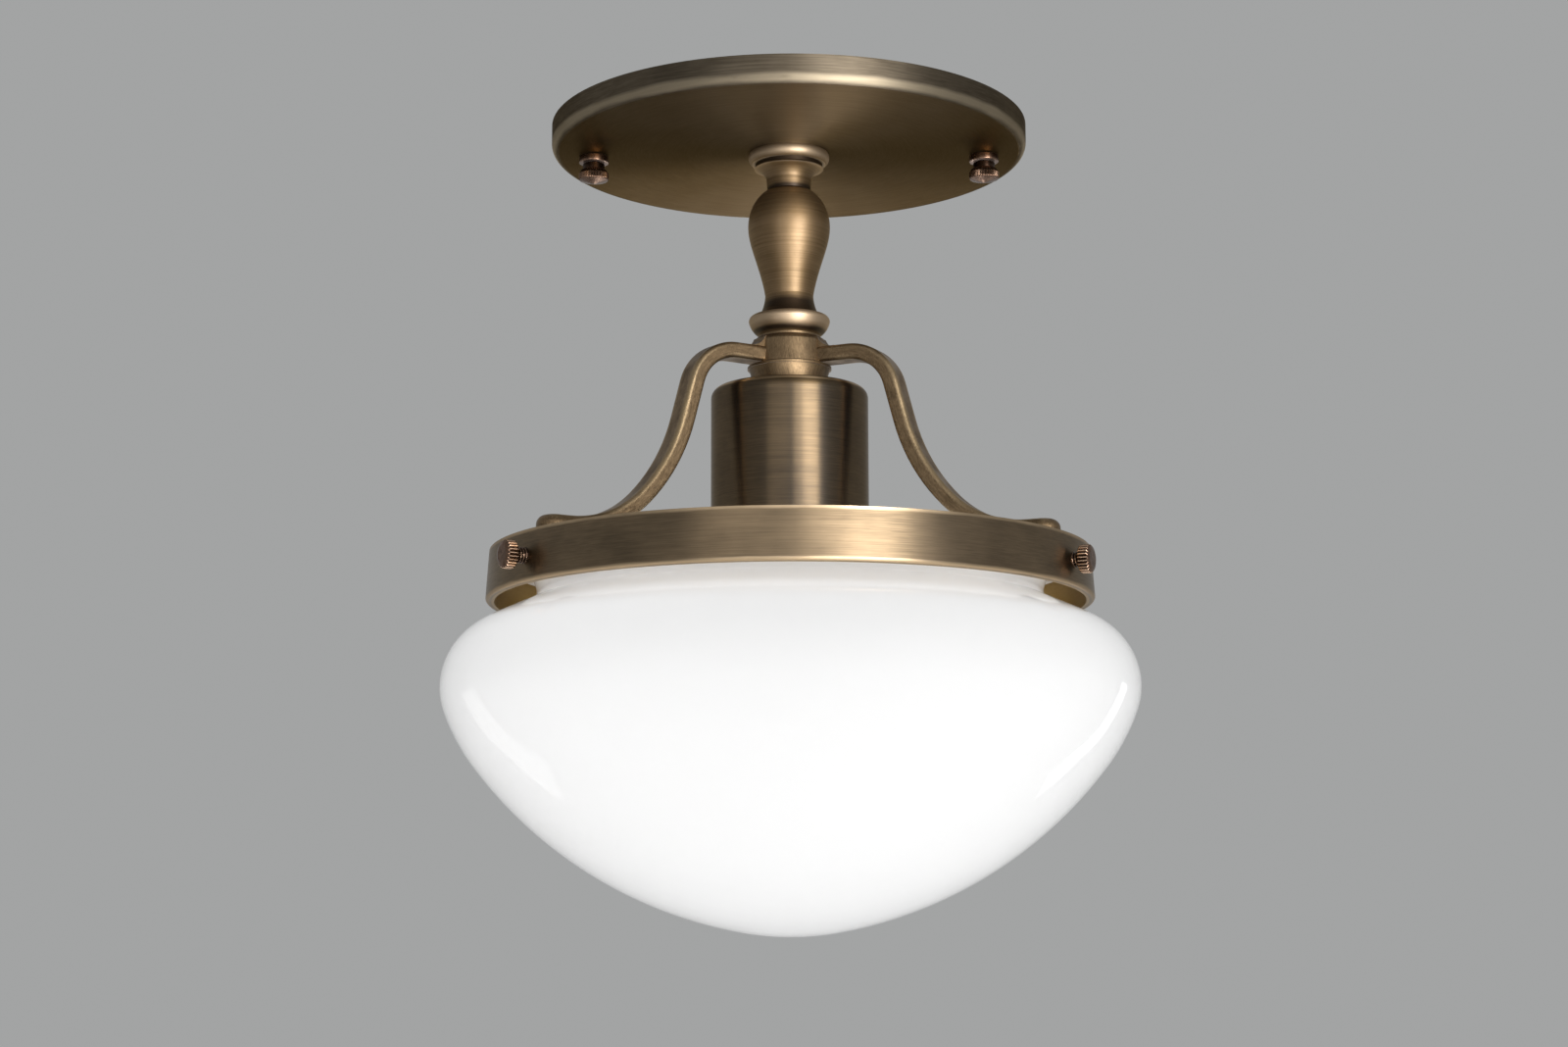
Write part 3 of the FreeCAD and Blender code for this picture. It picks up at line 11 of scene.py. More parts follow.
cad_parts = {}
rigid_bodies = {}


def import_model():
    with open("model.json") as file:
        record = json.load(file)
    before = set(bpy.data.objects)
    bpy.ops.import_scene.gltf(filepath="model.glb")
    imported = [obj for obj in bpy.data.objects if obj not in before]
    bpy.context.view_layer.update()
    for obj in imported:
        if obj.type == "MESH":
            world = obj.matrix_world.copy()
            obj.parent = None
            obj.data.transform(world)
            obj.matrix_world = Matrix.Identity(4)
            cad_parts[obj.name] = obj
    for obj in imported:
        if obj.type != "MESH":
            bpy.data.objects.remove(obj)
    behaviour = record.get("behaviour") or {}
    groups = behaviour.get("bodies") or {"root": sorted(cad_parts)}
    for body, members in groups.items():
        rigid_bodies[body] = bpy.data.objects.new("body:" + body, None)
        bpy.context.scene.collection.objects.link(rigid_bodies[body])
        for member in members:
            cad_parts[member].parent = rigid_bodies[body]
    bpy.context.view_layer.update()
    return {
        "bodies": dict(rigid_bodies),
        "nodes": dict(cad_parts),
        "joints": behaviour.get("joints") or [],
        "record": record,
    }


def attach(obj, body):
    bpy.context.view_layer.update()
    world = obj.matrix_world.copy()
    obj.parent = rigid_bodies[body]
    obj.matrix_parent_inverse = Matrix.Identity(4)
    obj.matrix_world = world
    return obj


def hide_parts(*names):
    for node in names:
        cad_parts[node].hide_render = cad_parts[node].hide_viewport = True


# Semi flush ceiling light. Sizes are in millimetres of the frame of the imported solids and
# become metres when a mesh is made. The ceiling is z = 0 and the light hangs towards -Z.

MM = 0.001
LOG = logging.getLogger("ceiling_light")
# Point attribute of the screws and collars: their wear together with painted shade and painted
# highlight.
WEAR_AND_LIGHT = "wear_and_light"
PLAIN_WEAR = 0.5
NEAR = 1e-6

# A circle is a radius and a height, then its reach or the rounding of its corner. A value is
# a socket of another node, or a plain number, vector or colour.

Point = tuple[float, float]
Circle = tuple[float, float, float]
Colour = tuple[float, float, float]
Triple = tuple[float, float, float]
Socket = bpy.types.NodeSocket
Value = Socket | float | tuple[float, ...]

# Both spans hold most values of a noise, and the broader one gives a softer pattern.

MIDDLE: Point = (0.35, 0.65)
BROADER: Point = (0.3, 0.7)


# Outlines and surfaces

def arc_run(centre: Point, radius: float, first: float, last: float, count: int) -> np.ndarray:
    """Points of an arc: centre plus radius times the cosine and sine of evenly spaced angles.

    Args:
        centre: radius and height of the arc's centre.
        radius: radius of the arc.
        first: angle of the first point, in degrees from outward.
        last: angle of the last point.
        count: number of points.

    Returns:
        Array of radius and height, one row a point.
    """
    angle = np.radians(np.linspace(first, last, count))
    across, up = centre[0] + radius * np.cos(angle), centre[1] + radius * np.sin(angle)
    return np.stack((across, up), axis=1)


def straight_run(start: Point, end: Point, count: int) -> np.ndarray:
    """Evenly spaced points between two points of an outline, both ends included."""
    share = np.linspace(0.0, 1.0, count)[:, None]
    return np.asarray(start) * (1 - share) + np.asarray(end) * share


def chain(*runs: np.ndarray) -> np.ndarray:
    """Runs of an outline end to end, without the points that repeat the one before.

    Args:
        runs: arrays of radius and height, in order.

    Returns:
        One array of radius and height.
    """
    points = np.concatenate(runs)
    step = np.linalg.norm(np.diff(points, axis=0), axis=1)
    return points[np.concatenate(([True], step > NEAR))]


def rounded(corners: list[Circle], steps: int = 5) -> np.ndarray:
    """Outline through corners whose third number is the radius of their rounding.

    Each rounding is the circle that touches both sides of its corner, so its centre lies on
    the line that halves the corner's angle.

    Args:
        corners: radius, height and rounding of each corner, in order.
        steps: points on each rounding.

    Returns:
        Array of radius and height.
    """
    places = np.array([corner[:2] for corner in corners])
    runs = [places[:1]]
    for before, here, after, corner in zip(places, places[1:], places[2:], corners[1:]):
        if corner[2] <= 0:
            runs.append(here[None])
            continue
        inward = (before - here) / np.linalg.norm(before - here)
        onward = (after - here) / np.linalg.norm(after - here)
        half = math.acos(float(np.clip(inward @ onward, -1, 1))) / 2
        middle = (inward + onward) / np.linalg.norm(inward + onward)
        centre = here + middle * corner[2] / math.sin(half)
        start = here + inward * corner[2] / math.tan(half) - centre
        end = here + onward * corner[2] / math.tan(half) - centre
        first = math.atan2(start[1], start[0])
        swing = math.remainder(math.atan2(end[1], end[0]) - first, math.tau)
        angle = first + swing * np.linspace(0, 1, steps)
        runs.append(centre + corner[2] * np.stack((np.cos(angle), np.sin(angle)), axis=1))
    runs.append(places[-1:])
    return chain(*runs)


@dataclass
class Surface:
    """A mesh in the making: points in millimetres, with four and three sided faces.

    Each point may have a level of wear and painted light, from 0, deep in a groove with grime
    and painted shade, to 1, on a rubbed crest with a painted highlight.
    """

    points: np.ndarray
    quads: np.ndarray
    tris: np.ndarray = field(default_factory=lambda: np.zeros((0, 3), int))
    wear_and_light: np.ndarray | None = None

    def placed(self, shift: Triple, turn: np.ndarray = np.eye(3)) -> "Surface":
        """Copy of the surface, each point turned by a matrix and then shifted."""
        return Surface(self.points @ turn.T + np.asarray(shift), self.quads, self.tris, self.wear_and_light)

    def mesh(self, name: str) -> bpy.types.Mesh:
        """Mesh of the surface, in metres.

        Args:
            name: name of the mesh.

        Returns:
            The new mesh, without smoothing or material.
        """
        made = bpy.data.meshes.new(name)
        faces = self.quads.tolist() + self.tris.tolist()
        made.from_pydata((self.points * MM).tolist(), [], faces)
        return made

    def outward(self) -> "Surface":
        """The surface with its faces pointing outwards.

        The signed volume is a sixth of the sum over triangles of a corner dotted with the
        cross product of the other two, and is negative when the faces point inwards.

        Returns:
            The surface itself, or a copy with every face turned over.
        """
        halves = np.concatenate((self.quads[:, [0, 1, 2]], self.quads[:, [0, 2, 3]], self.tris))
        a, b, c = (self.points[halves[:, k]] for k in range(3))
        if np.einsum("ij,ij->i", a, np.cross(b, c)).sum() < 0:
            return Surface(self.points, self.quads[:, ::-1], self.tris[:, ::-1], self.wear_and_light)
        return self


def spin(outline: np.ndarray, columns: int, relief: np.ndarray | None = None,
         wear_and_light: np.ndarray | None = None) -> Surface:
    """Turned surface: every point of an outline carried round the Z axis.

    Point (i, j) lies at the radius of outline row i, plus its relief, at angle j of the full
    turn. Where the outline starts and ends on the axis, each end is one point with a fan of
    triangles, and otherwise its last row is joined to its first.

    Args:
        outline: radius and height of each row.
        columns: number of points round the axis.
        relief: change of radius, one value for each row and column.
        wear_and_light: levels of wear and painted light of the points, one value for each row and
            column.

    Returns:
        The closed surface.
    """
    on_axis = outline[0, 0] < NEAR and outline[-1, 0] < NEAR
    between = slice(1, -1) if on_axis else slice(None)
    if wear_and_light is not None:
        ends = wear_and_light[[0, -1], 0] if on_axis else []
        wear_and_light = np.concatenate((wear_and_light[between].ravel(), ends))
    radius, height = (np.repeat(part[between, None], columns, axis=1) for part in outline.T)
    if relief is not None:
        radius = radius + relief[between]
    angle = column_angles(columns)
    grid = np.stack((radius * np.cos(angle), radius * np.sin(angle), height), axis=2)
    number = np.arange(height.size).reshape(height.shape)
    upper = number[:-1] if on_axis else number
    lower = number[1:] if on_axis else np.roll(number, -1, axis=0)
    right = np.roll(upper, -1, axis=1)
    quads = np.stack((upper, right, np.roll(lower, -1, axis=1), lower), axis=2).reshape(-1, 4)
    points = grid.reshape(-1, 3)
    if not on_axis:
        return Surface(points, quads, wear_and_light=wear_and_light).outward()
    poles = np.array([[0, 0, outline[0, 1]], [0, 0, outline[-1, 1]]])
    first, last = len(points), len(points) + 1
    near, far = number[0], number[-1]
    start_fan = np.stack((np.full(columns, first), np.roll(near, -1), near), axis=1)
    end_fan = np.stack((np.full(columns, last), far, np.roll(far, -1)), axis=1)
    points = np.concatenate((points, poles))
    return Surface(points, quads, np.concatenate((start_fan, end_fan)), wear_and_light).outward()


def column_angles(columns: int) -> np.ndarray:
    """Angles of the columns of a turned surface, as one row."""
    return math.tau * np.arange(columns)[None, :] / columns


def thread_relief(height: np.ndarray, columns: int, pitch: float, depth: float,
                  flat: float = 0.1) -> np.ndarray:
    """Change of radius of a screw thread.

    The cut goes round once a pitch: its phase is height over pitch less the share of a turn,
    and its depth follows a triangle of that phase, whose crest and root are cut flat.

    Args:
        height: height of each row.
        columns: number of columns round the axis.
        pitch: distance between crests.
        depth: depth of the cut.
        flat: share of the triangle's height that each flat takes away.

    Returns:
        Negative numbers, one for each row and column.
    """
    phase = height[:, None] / pitch - column_angles(columns) / math.tau
    triangle = np.abs(2 * (phase % 1.0) - 1)
    return -depth * np.clip((triangle - flat) / (1 - 2 * flat), 0, 1)


def add_object(name: str, data: bpy.types.ID) -> bpy.types.Object:
    """New object in the scene, at the origin.

    Args:
        name: name of the object.
        data: its mesh, lamp or camera.

    Returns:
        The new object.
    """
    made = bpy.data.objects.new(name, data)
    bpy.context.scene.collection.objects.link(made)
    return made


# Finishes

class NodeBoard:
    """A node tree, with short calls for the nodes that this light uses."""

    # Places of a mix node's two values among its inputs, and of its result.
    MIX_SOCKETS: dict[str, tuple[int, int, int]] = {"FLOAT": (2, 3, 0), "RGBA": (6, 7, 2)}

    def __init__(self, tree: bpy.types.NodeTree) -> None:
        """Start with the tree emptied."""
        self.tree = tree
        self.tree.nodes.clear()

    def node(self, kind: str, *values: Value, **settings: str) -> bpy.types.Node:
        """New node of a kind, with its plain settings and with its first inputs fed.

        Args:
            kind: the node's type, without its usual start.
            values: what its first inputs take, in order.
            settings: its plain settings by name.

        Returns:
            The new node.
        """
        made = self.tree.nodes.new("ShaderNode" + kind)
        for name, setting in settings.items():
            setattr(made, name, setting)
        for socket, value in zip(made.inputs, values):
            self.feed(socket, value)
        return made

    def feed(self, socket: Socket, value: Value) -> None:
        """Link a socket to another one, or set its value.

        Args:
            socket: the input.
            value: the output to link it to, or what to set.
        """
        if isinstance(value, Socket):
            self.tree.links.new(value, socket)
        else:
            socket.default_value = value

    def math(self, operation: str, *values: Value) -> Socket:
        """Result of a math node."""
        return self.node("Math", *values, operation=operation).outputs[0]

    def minus(self, first: Value, second: Value) -> Socket:
        """First value less the second."""
        return self.math("SUBTRACT", first, second)

    def times(self, first: Value, second: Value) -> Socket:
        """Product of two values."""
        return self.math("MULTIPLY", first, second)

    def weigh(self, *shares: tuple[Value, float]) -> Value:
        """Sum of values, each times its weight.

        Args:
            shares: pairs of a value and its weight.

        Returns:
            The sum.
        """
        total: Value = 0.0
        for value, weight in shares:
            total = self.math("MULTIPLY_ADD", value, weight, total)
        return total

    def stretch(self, place: Value, factors: Triple) -> Socket:
        """Vector with each of its parts times a factor."""
        return self.node("VectorMath", place, factors, operation="MULTIPLY").outputs[0]

    def combine(self, x: Value, y: Value, z: Value) -> Socket:
        """Vector of three values."""
        return self.node("CombineXYZ", x, y, z).outputs[0]

    def length(self, vector: Value) -> Socket:
        """Length of a vector."""
        return self.node("VectorMath", vector, operation="LENGTH").outputs["Value"]

    def reach(self, out: Value, up: Value) -> Socket:
        """Length of a step outward and upward."""
        return self.length(self.combine(out, up, 0.0))

    def millimetres(self) -> Socket:
        """Object coordinates in millimetres."""
        return self.stretch(self.node("TexCoord").outputs["Object"], (1 / MM,) * 3)

    def noise(self, place: Value, scale: float, detail: float, w: Value | None = None) -> Socket:
        """Value of a noise from 0 to 1, in four dimensions where w is given.

        Args:
            place: where the noise is read.
            scale: how often it changes in one unit of place.
            detail: number of its finer layers.
            w: place along the fourth dimension.

        Returns:
            The value.
        """
        size, fourth = ("3D", 0.0) if w is None else ("4D", w)
        made = self.node("TexNoise", place, fourth, scale, detail, noise_dimensions=size)
        return made.outputs[0]

    def spread(self, value: Value, span: Point, out: Point = (0.0, 1.0)) -> Socket:
        """Value carried from one range to another, and held within it."""
        return self.node("MapRange", value, *span, *out).outputs[0]

    def mix(self, kind: str, share: Value, first: Value, second: Value) -> Socket:
        """Value between two values: the first at a share of 0 and the second at 1.

        Args:
            kind: type of the two values.
            share: share of the second value.
            first: value at a share of 0.
            second: value at a share of 1.

        Returns:
            The value between them.
        """
        made = self.node("Mix", share, data_type=kind)
        first_place, second_place, result = self.MIX_SOCKETS[kind]
        self.feed(made.inputs[first_place], first)
        self.feed(made.inputs[second_place], second)
        return made.outputs[result]

    def blend(self, share: Value, first: Value, second: Value) -> Socket:
        """Colour between two colours."""
        colours = [c if isinstance(c, Socket) else (*c, 1.0) for c in (first, second)]
        return self.mix("RGBA", share, *colours)

    def past(self, value: Value, limit: float, below: Value, above: Value) -> Socket:
        """One of two numbers: the second where a value is past a limit."""
        return self.mix("FLOAT", self.math("GREATER_THAN", value, limit), below, above)

    def shown(self) -> Socket:
        """1 for rays from the camera, from gloss and through clear glass, and otherwise 0.

        Returns:
            The number for the ray at hand.
        """
        path = self.node("LightPath").outputs
        seen = path["Is Camera Ray"]
        for name in ("Is Glossy Ray", "Is Transmission Ray"):
            seen = self.math("MAXIMUM", seen, path[name])
        return seen


class ShaderBoard(NodeBoard):
    """A material's node tree, with one principled shader wired to its output."""

    def __init__(self, name: str) -> None:
        """Start a material of this name.

        Args:
            name: name of the material.
        """
        self.material = bpy.data.materials.new(name)
        self.material.use_nodes = True
        super().__init__(self.material.node_tree)
        self.shader = self.node("BsdfPrincipled")
        self.node("OutputMaterial", self.shader.outputs[0])

    def set(self, **values: Value) -> None:
        """Feed the shader's sockets, named with underscores for spaces."""
        for name, value in values.items():
            self.feed(self.shader.inputs[name.replace("_", " ")], value)

    def bump(self, height: Value, strength: float, depth_mm: float) -> None:
        """Raise the shader's surface by a height.

        Args:
            height: height from 0 to 1.
            strength: share of the bump that shows.
            depth_mm: how far a height of 1 stands out, in millimetres.
        """
        made = self.node("Bump", strength, depth_mm * MM)
        self.feed(made.inputs["Height"], height)
        self.set(Normal=made.outputs[0])


@dataclass(frozen=True)
class Finish:
    """A named finish. Its material is made once and shared.

    A gloss is the shader's roughness where the finish's pattern is low and where it is high.
    """

    name: str

    def material(self) -> bpy.types.Material:
        """The finish's material, made at its first use.

        Returns:
            The material.
        """
        found = bpy.data.materials.get("finish_" + self.name)
        if found:
            return found
        board = ShaderBoard("finish_" + self.name)
        self.paint(board)
        return board.material

    def paint(self, board: ShaderBoard) -> None:
        """Wire the finish's nodes."""
        raise NotImplementedError


@dataclass(frozen=True)
class TurnedBrass(Finish):
    """Antique brass brushed on a lathe: fine rings over a cloudy brown patina.

    A ring pattern is a noise of the distance from the axis and the height, drawn out along
    the turn by letting x and y count little. Edges are painted bright, as rubbed brass with a
    painted highlight, and grooves are painted dark, as patina with painted shade: each is a
    circle with a reach, and it fades with the distance from it. Where inner_r is given, faces
    inside it and below inner_top have the inner colour, which is painted light: painted shade
    on the pan's underside, and a painted reflection of the glass inside the ring. The wall
    outside is hazier. Sizes of the patterns are in millimetres.
    """

    dark: Colour
    light: Colour
    # Colour of the rims: rubbed brass with a painted highlight.
    worn: Colour = (0.52, 0.38, 0.23)
    worn_and_highlight_rims: tuple[Circle, ...] = ()
    # Colour of the grooves: patina with painted shade.
    patina_and_shade: Colour = (0.040, 0.025, 0.014)
    grooves: tuple[Circle, ...] = ()
    core: float = 0.35
    line: float = 0.24
    stroke: float = 12.0
    broad_density: float = 0.28
    fine_share: float = 0.75
    cloud: float = 16.0
    line_share: float = 0.55
    tones: Point = (0.36, 0.64)
    gloss: Point = (0.41, 0.34)
    anisotropy: float = 0.9
    turn_rotation: float = 0.25
    relief: float = 0.006
    relief_strength: float = 0.5
    glance: Colour = (0.60, 0.52, 0.42)
    lacquer: float = 0.5
    lacquer_roughness: float = 0.34
    inner_r: float = 0.0
    inner_top: float = 0.0
    # Painted light on inner faces: painted shade on the pan's underside, a painted reflection of
    # the glass inside the ring.
    inner: Colour = (0.42, 0.27, 0.07)
    inner_cover: float = 0.8
    inner_blur: Point = (0.3, 0.2)
    wall_haze: float = 0.0

    def paint(self, board: ShaderBoard) -> None:
        """Wire the rings, the patina and the brushed shader.

        Args:
            board: the board of the material.
        """
        place = board.millimetres()
        x, y, z = board.node("SeparateXYZ", place).outputs
        radius = board.reach(x, y)
        along = self.line / self.stroke
        ringed = board.combine(radius, z, board.times(x, along))
        turn = board.times(y, along)
        fine, broad = (
            board.noise(ringed, scale, detail, board.times(turn, scale))
            for scale, detail in ((1 / self.line, 2.0), (self.broad_density / self.line, 1.0))
        )
        cloud = board.noise(place, 1 / self.cloud, 3.0)
        lines = board.weigh((fine, self.fine_share), (broad, 1 - self.fine_share))
        tone = board.weigh((lines, self.line_share), (cloud, 1 - self.line_share))
        brass = board.blend(board.spread(tone, self.tones), self.dark, self.light)
        brass = self.circled(board, brass, cloud, radius, z)
        gloss = board.spread(lines, MIDDLE, self.gloss)
        # Inner faces take the inner colour: painted shade under the pan, a painted reflection
        # inside the ring.
        if self.inner_r:
            outside = board.math(
                "MAXIMUM",
                board.spread(radius, (self.inner_r - self.inner_blur[0], self.inner_r)),
                board.spread(z, (self.inner_top - self.inner_blur[1], self.inner_top)),
            )
            cover = board.math("MULTIPLY_ADD", outside, -self.inner_cover, self.inner_cover)
            brass = board.blend(cover, brass, self.inner)
            gloss = board.math("MULTIPLY_ADD", outside, self.wall_haze, gloss)
        board.set(
            Base_Color=brass,
            Metallic=1.0,
            Roughness=gloss,
            Specular_Tint=(*self.glance, 1.0),
            Anisotropic=self.anisotropy,
            Anisotropic_Rotation=self.turn_rotation,
            Tangent=board.node("Tangent", direction_type="RADIAL", axis="Z").outputs[0],
            Coat_Weight=self.lacquer,
            Coat_Roughness=self.lacquer_roughness,
        )
        board.bump(lines, self.relief_strength, self.relief)

    def circled(self, board: ShaderBoard, brass: Value, cloud: Value, radius: Value,
                z: Value) -> Value:
        """Colour of the brass with its dark grooves, patina with painted shade, and then its
        bright rims, rubbed brass with a painted highlight, laid over it.

        Args:
            board: the board of the material.
            brass: colour under them.
            cloud: noise that makes their edges ragged.
            radius: distance from the axis.
            z: height.

        Returns:
            The new colour.
        """
        # Grooves take patina with painted shade, darkest at their middle.
        circles = [(self.patina_and_shade, circle) for circle in self.grooves]
        # Rims take the worn colour: rubbed brass with a painted highlight.
        circles += [(self.worn, circle) for circle in self.worn_and_highlight_rims]
        for tint, (circle_r, circle_z, reach) in circles:
            distance = board.reach(board.minus(radius, circle_r), board.minus(z, circle_z))
            ragged = board.math("MULTIPLY_ADD", board.minus(cloud, 0.5), reach, distance)
            cover = board.spread(ragged, (self.core * reach, reach), (1.0, 0.0))
            brass = board.blend(cover, brass, tint)
        return brass


@dataclass(frozen=True)
class ArmPath:
    """Middle line of a cast arm, as radius and height: level, bend, steep run, sweep, foot.

    The bend, the sweep and the foot are arcs, given by their centre and radius.
    """

    bend: Point = (18.21, -75.60)
    bend_r: float = 12.6
    steep_start: Point = (30.35, -72.23)
    steep_angle: float = 74.5
    steep_length: float = 10.6
    sweep: Point = (81.37, -69.09)
    sweep_r: float = 50.0
    sweep_end: Point = (46.01, -104.44)
    foot: Point = (67.4, -83.05)
    foot_r: float = 30.25

    def offset(self, board: ShaderBoard, radius: Value, z: Value) -> Value:
        """Distance of a place above the middle line, from the centre of the run it lies along.

        The runs meet on lines square to the path, so which run a place belongs to follows
        from how far it lies along the steep run, and past the end of the sweep.

        Args:
            board: the board of the material.
            radius: distance from the axis.
            z: height.

        Returns:
            The distance, which is negative below the line.
        """
        cosine = math.cos(math.radians(self.steep_angle))
        sine = math.sin(math.radians(self.steep_angle))
        out = board.minus(radius, self.steep_start[0])
        up = board.minus(z, self.steep_start[1])
        along = board.weigh((out, cosine), (up, -sine))
        steep = board.weigh((out, sine), (up, cosine))
        bend_out = board.math("MAXIMUM", board.minus(radius, self.bend[0]), 0.0)
        bend = board.minus(board.reach(bend_out, board.minus(z, self.bend[1])), self.bend_r)
        sweep_out = board.minus(radius, self.sweep[0])
        sweep = board.minus(self.sweep_r, board.reach(sweep_out, board.minus(z, self.sweep[1])))
        foot_out = board.math("MINIMUM", board.minus(radius, self.foot[0]), 0.0)
        foot = board.minus(self.foot_r, board.reach(foot_out, board.minus(z, self.foot[1])))
        sweep_limit = self.sweep_end[0] - self.sweep_end[1]
        lower = board.past(board.minus(radius, z), sweep_limit, sweep, foot)
        upper = board.past(along, 0.0, bend, steep)
        return board.past(along, self.steep_length, upper, lower)


@dataclass(frozen=True)
class CastBrass(Finish):
    """Cast brass rubbed by hand: brown faces, scratches along the arms and bright edges.

    A place on an arm is known by its distance across the arm and above its middle line. A
    scratch is a noise of both that changes slowly along the arm, and an edge is where both
    are far from the middle, so that their product is large. How often a pattern changes is
    given per millimetre.
    """

    dark: Colour = (0.088, 0.059, 0.033)
    light: Colour = (0.298, 0.205, 0.115)
    worn: Colour = (0.36, 0.265, 0.155)
    tones: Point = (0.37, 0.64)
    edge_span: Point = (0.42, 0.85)
    edge_raggedness: float = 0.7
    scratch_across: float = 4.2
    scratch_along: float = 0.34
    hatch: Triple = (4.4, 4.4, 1.6)
    cloud: float = 0.17
    grain: float = 1.6
    scratch_share: float = 0.36
    cloud_share: float = 0.40
    hatch_share: float = 0.24
    grain_share: float = 0.4
    gloss: Point = (0.52, 0.36)
    relief: float = 0.05
    relief_strength: float = 0.4
    arms: int = 3
    first_arm: float = 94.0
    path: ArmPath = ArmPath()
    half_width: float = 3.5
    half_thickness: float = 2.1
    hub_r: float = 13.0
    hub_blend: float = 4.0

    def paint(self, board: ShaderBoard) -> None:
        """Wire the patina, the scratches, the edges and the grain of the casting.

        Args:
            board: the board of the material.
        """
        place = board.millimetres()
        x, y, z = board.node("SeparateXYZ", place).outputs
        radius = board.reach(x, y)
        across = board.times(self.turned(board, x, y), radius)
        offset = self.path.offset(board, radius, z)
        on_arm = board.spread(radius, (self.hub_r, self.hub_r + self.hub_blend))
        drawn = board.combine(
            board.times(across, self.scratch_across),
            board.times(board.times(offset, on_arm), self.scratch_across),
            board.times(board.minus(radius, z), self.scratch_along),
        )
        scratch = board.noise(drawn, 1.0, 3.0)
        hatch = board.noise(board.stretch(place, self.hatch), 1.0, 3.0)
        cloud = board.noise(place, self.cloud, 4.0)
        grain = board.noise(place, self.grain, 3.0)
        tone = board.weigh(
            (scratch, self.scratch_share), (cloud, self.cloud_share), (hatch, self.hatch_share)
        )
        edge = board.times(
            board.times(board.math("ABSOLUTE", across), 1 / self.half_width),
            board.times(board.math("ABSOLUTE", offset), 1 / self.half_thickness),
        )
        ragged = board.math("MULTIPLY_ADD", board.minus(hatch, 0.5), self.edge_raggedness, edge)
        rubbed = board.times(board.spread(ragged, self.edge_span), on_arm)
        faces = board.blend(board.spread(tone, self.tones), self.dark, self.light)
        board.set(
            Base_Color=board.blend(rubbed, faces, self.worn),
            Metallic=1.0,
            Roughness=board.spread(cloud, MIDDLE, self.gloss),
        )
        height = board.weigh((grain, self.grain_share), (scratch, 1 - self.grain_share))
        board.bump(height, self.relief_strength, self.relief)

    def turned(self, board: ShaderBoard, x: Value, y: Value) -> Value:
        """Angle round the axis from the nearest arm, in radians.

        Args:
            board: the board of the material.
            x: first place.
            y: second place.

        Returns:
            The angle, from minus to plus half a sector.
        """
        sector = self.arms / math.tau
        start = 0.5 - math.radians(self.first_arm) * sector
        share = board.math("MULTIPLY_ADD", board.math("ARCTAN2", y, x), sector, start)
        return board.times(board.minus(board.math("FRACT", share), 0.5), 1 / sector)


@dataclass(frozen=True)
class PlainMetal(Finish):
    """Metal of one colour with a fine speckle in its tone and gloss."""

    dark: Colour
    light: Colour
    gloss: Point = (0.38, 0.25)
    speckle: float = 2.0
    relief: float = 0.02
    relief_strength: float = 0.25
    metallic: float = 1.0

    def paint(self, board: ShaderBoard) -> None:
        """Wire the speckle into colour, gloss and a slight unevenness.

        Args:
            board: the board of the material.
        """
        speckle = board.noise(board.millimetres(), 1 / self.speckle, 4.0)
        board.set(
            Base_Color=board.blend(board.spread(speckle, MIDDLE), self.dark, self.light),
            Metallic=self.metallic,
            Roughness=board.spread(speckle, BROADER, self.gloss),
        )
        board.bump(speckle, self.relief_strength, self.relief)


@dataclass(frozen=True)
class KnurledBrass(Finish):
    """Reddish brass of the screws, black in its grooves and bright on its crests.

    The black is grime with painted shade, and the crests are rubbed brass with a painted
    highlight. The level of wear and painted light is the mesh's own attribute: 0 in a groove,
    a half on a plain face, 1 on a crest.
    """

    # Grime with painted shade in the grooves.
    groove: Colour = (0.030, 0.018, 0.012)
    dark: Colour = (0.120, 0.068, 0.044)
    light: Colour = (0.230, 0.140, 0.095)
    # Rubbed brass with a painted highlight on the crests.
    crest: Colour = (0.78, 0.56, 0.40)
    speckle: float = 1.25
    sunk_span: Point = (0.08, 0.45)
    crest_span: Point = (0.58, 0.92)
    gloss: Point = (0.32, 0.20)

    def paint(self, board: ShaderBoard) -> None:
        """Wire the wear and a fine speckle into the colour.

        Args:
            board: the board of the material.
        """
        speckle = board.noise(board.millimetres(), 1 / self.speckle, 4.0)
        wear_and_light = board.node("Attribute", attribute_name=WEAR_AND_LIGHT).outputs["Fac"]
        plain = board.blend(board.spread(speckle, MIDDLE), self.dark, self.light)
        sunk = board.blend(board.spread(wear_and_light, self.sunk_span), self.groove, plain)
        board.set(
            Base_Color=board.blend(board.spread(wear_and_light, self.crest_span), sunk, self.crest),
            Metallic=1.0,
            Roughness=board.spread(speckle, BROADER, self.gloss),
        )


@dataclass(frozen=True)
class PaleCeramic(Finish):
    """Opal glass, porcelain or frosted glass: a smooth gloss over a body of one tone.

    A depth of 1 lets light scatter under the surface, as far as the reach.
    """

    tint: Colour
    shade: Colour
    roughness: float = 0.05
    depth: float = 0.0
    reach: float = 10.0
    cloud: float = 40.0
    wave: float = 18.0
    wave_depth: float = 0.02
    wave_strength: float = 0.3

    def paint(self, board: ShaderBoard) -> None:
        """Wire a faint cloud of tone and a very long, shallow wave of the surface.

        Args:
            board: the board of the material.
        """
        place = board.millimetres()
        cloud = board.noise(place, 1 / self.cloud, 2.0)
        board.set(
            Base_Color=board.blend(board.spread(cloud, BROADER), self.shade, self.tint),
            Roughness=self.roughness,
            IOR=1.5,
            Subsurface_Weight=self.depth,
            Subsurface_Radius=(self.reach * MM,) * 3,
            Subsurface_Scale=1.0,
        )
        board.bump(board.noise(place, 1 / self.wave, 1.0), self.wave_strength, self.wave_depth)


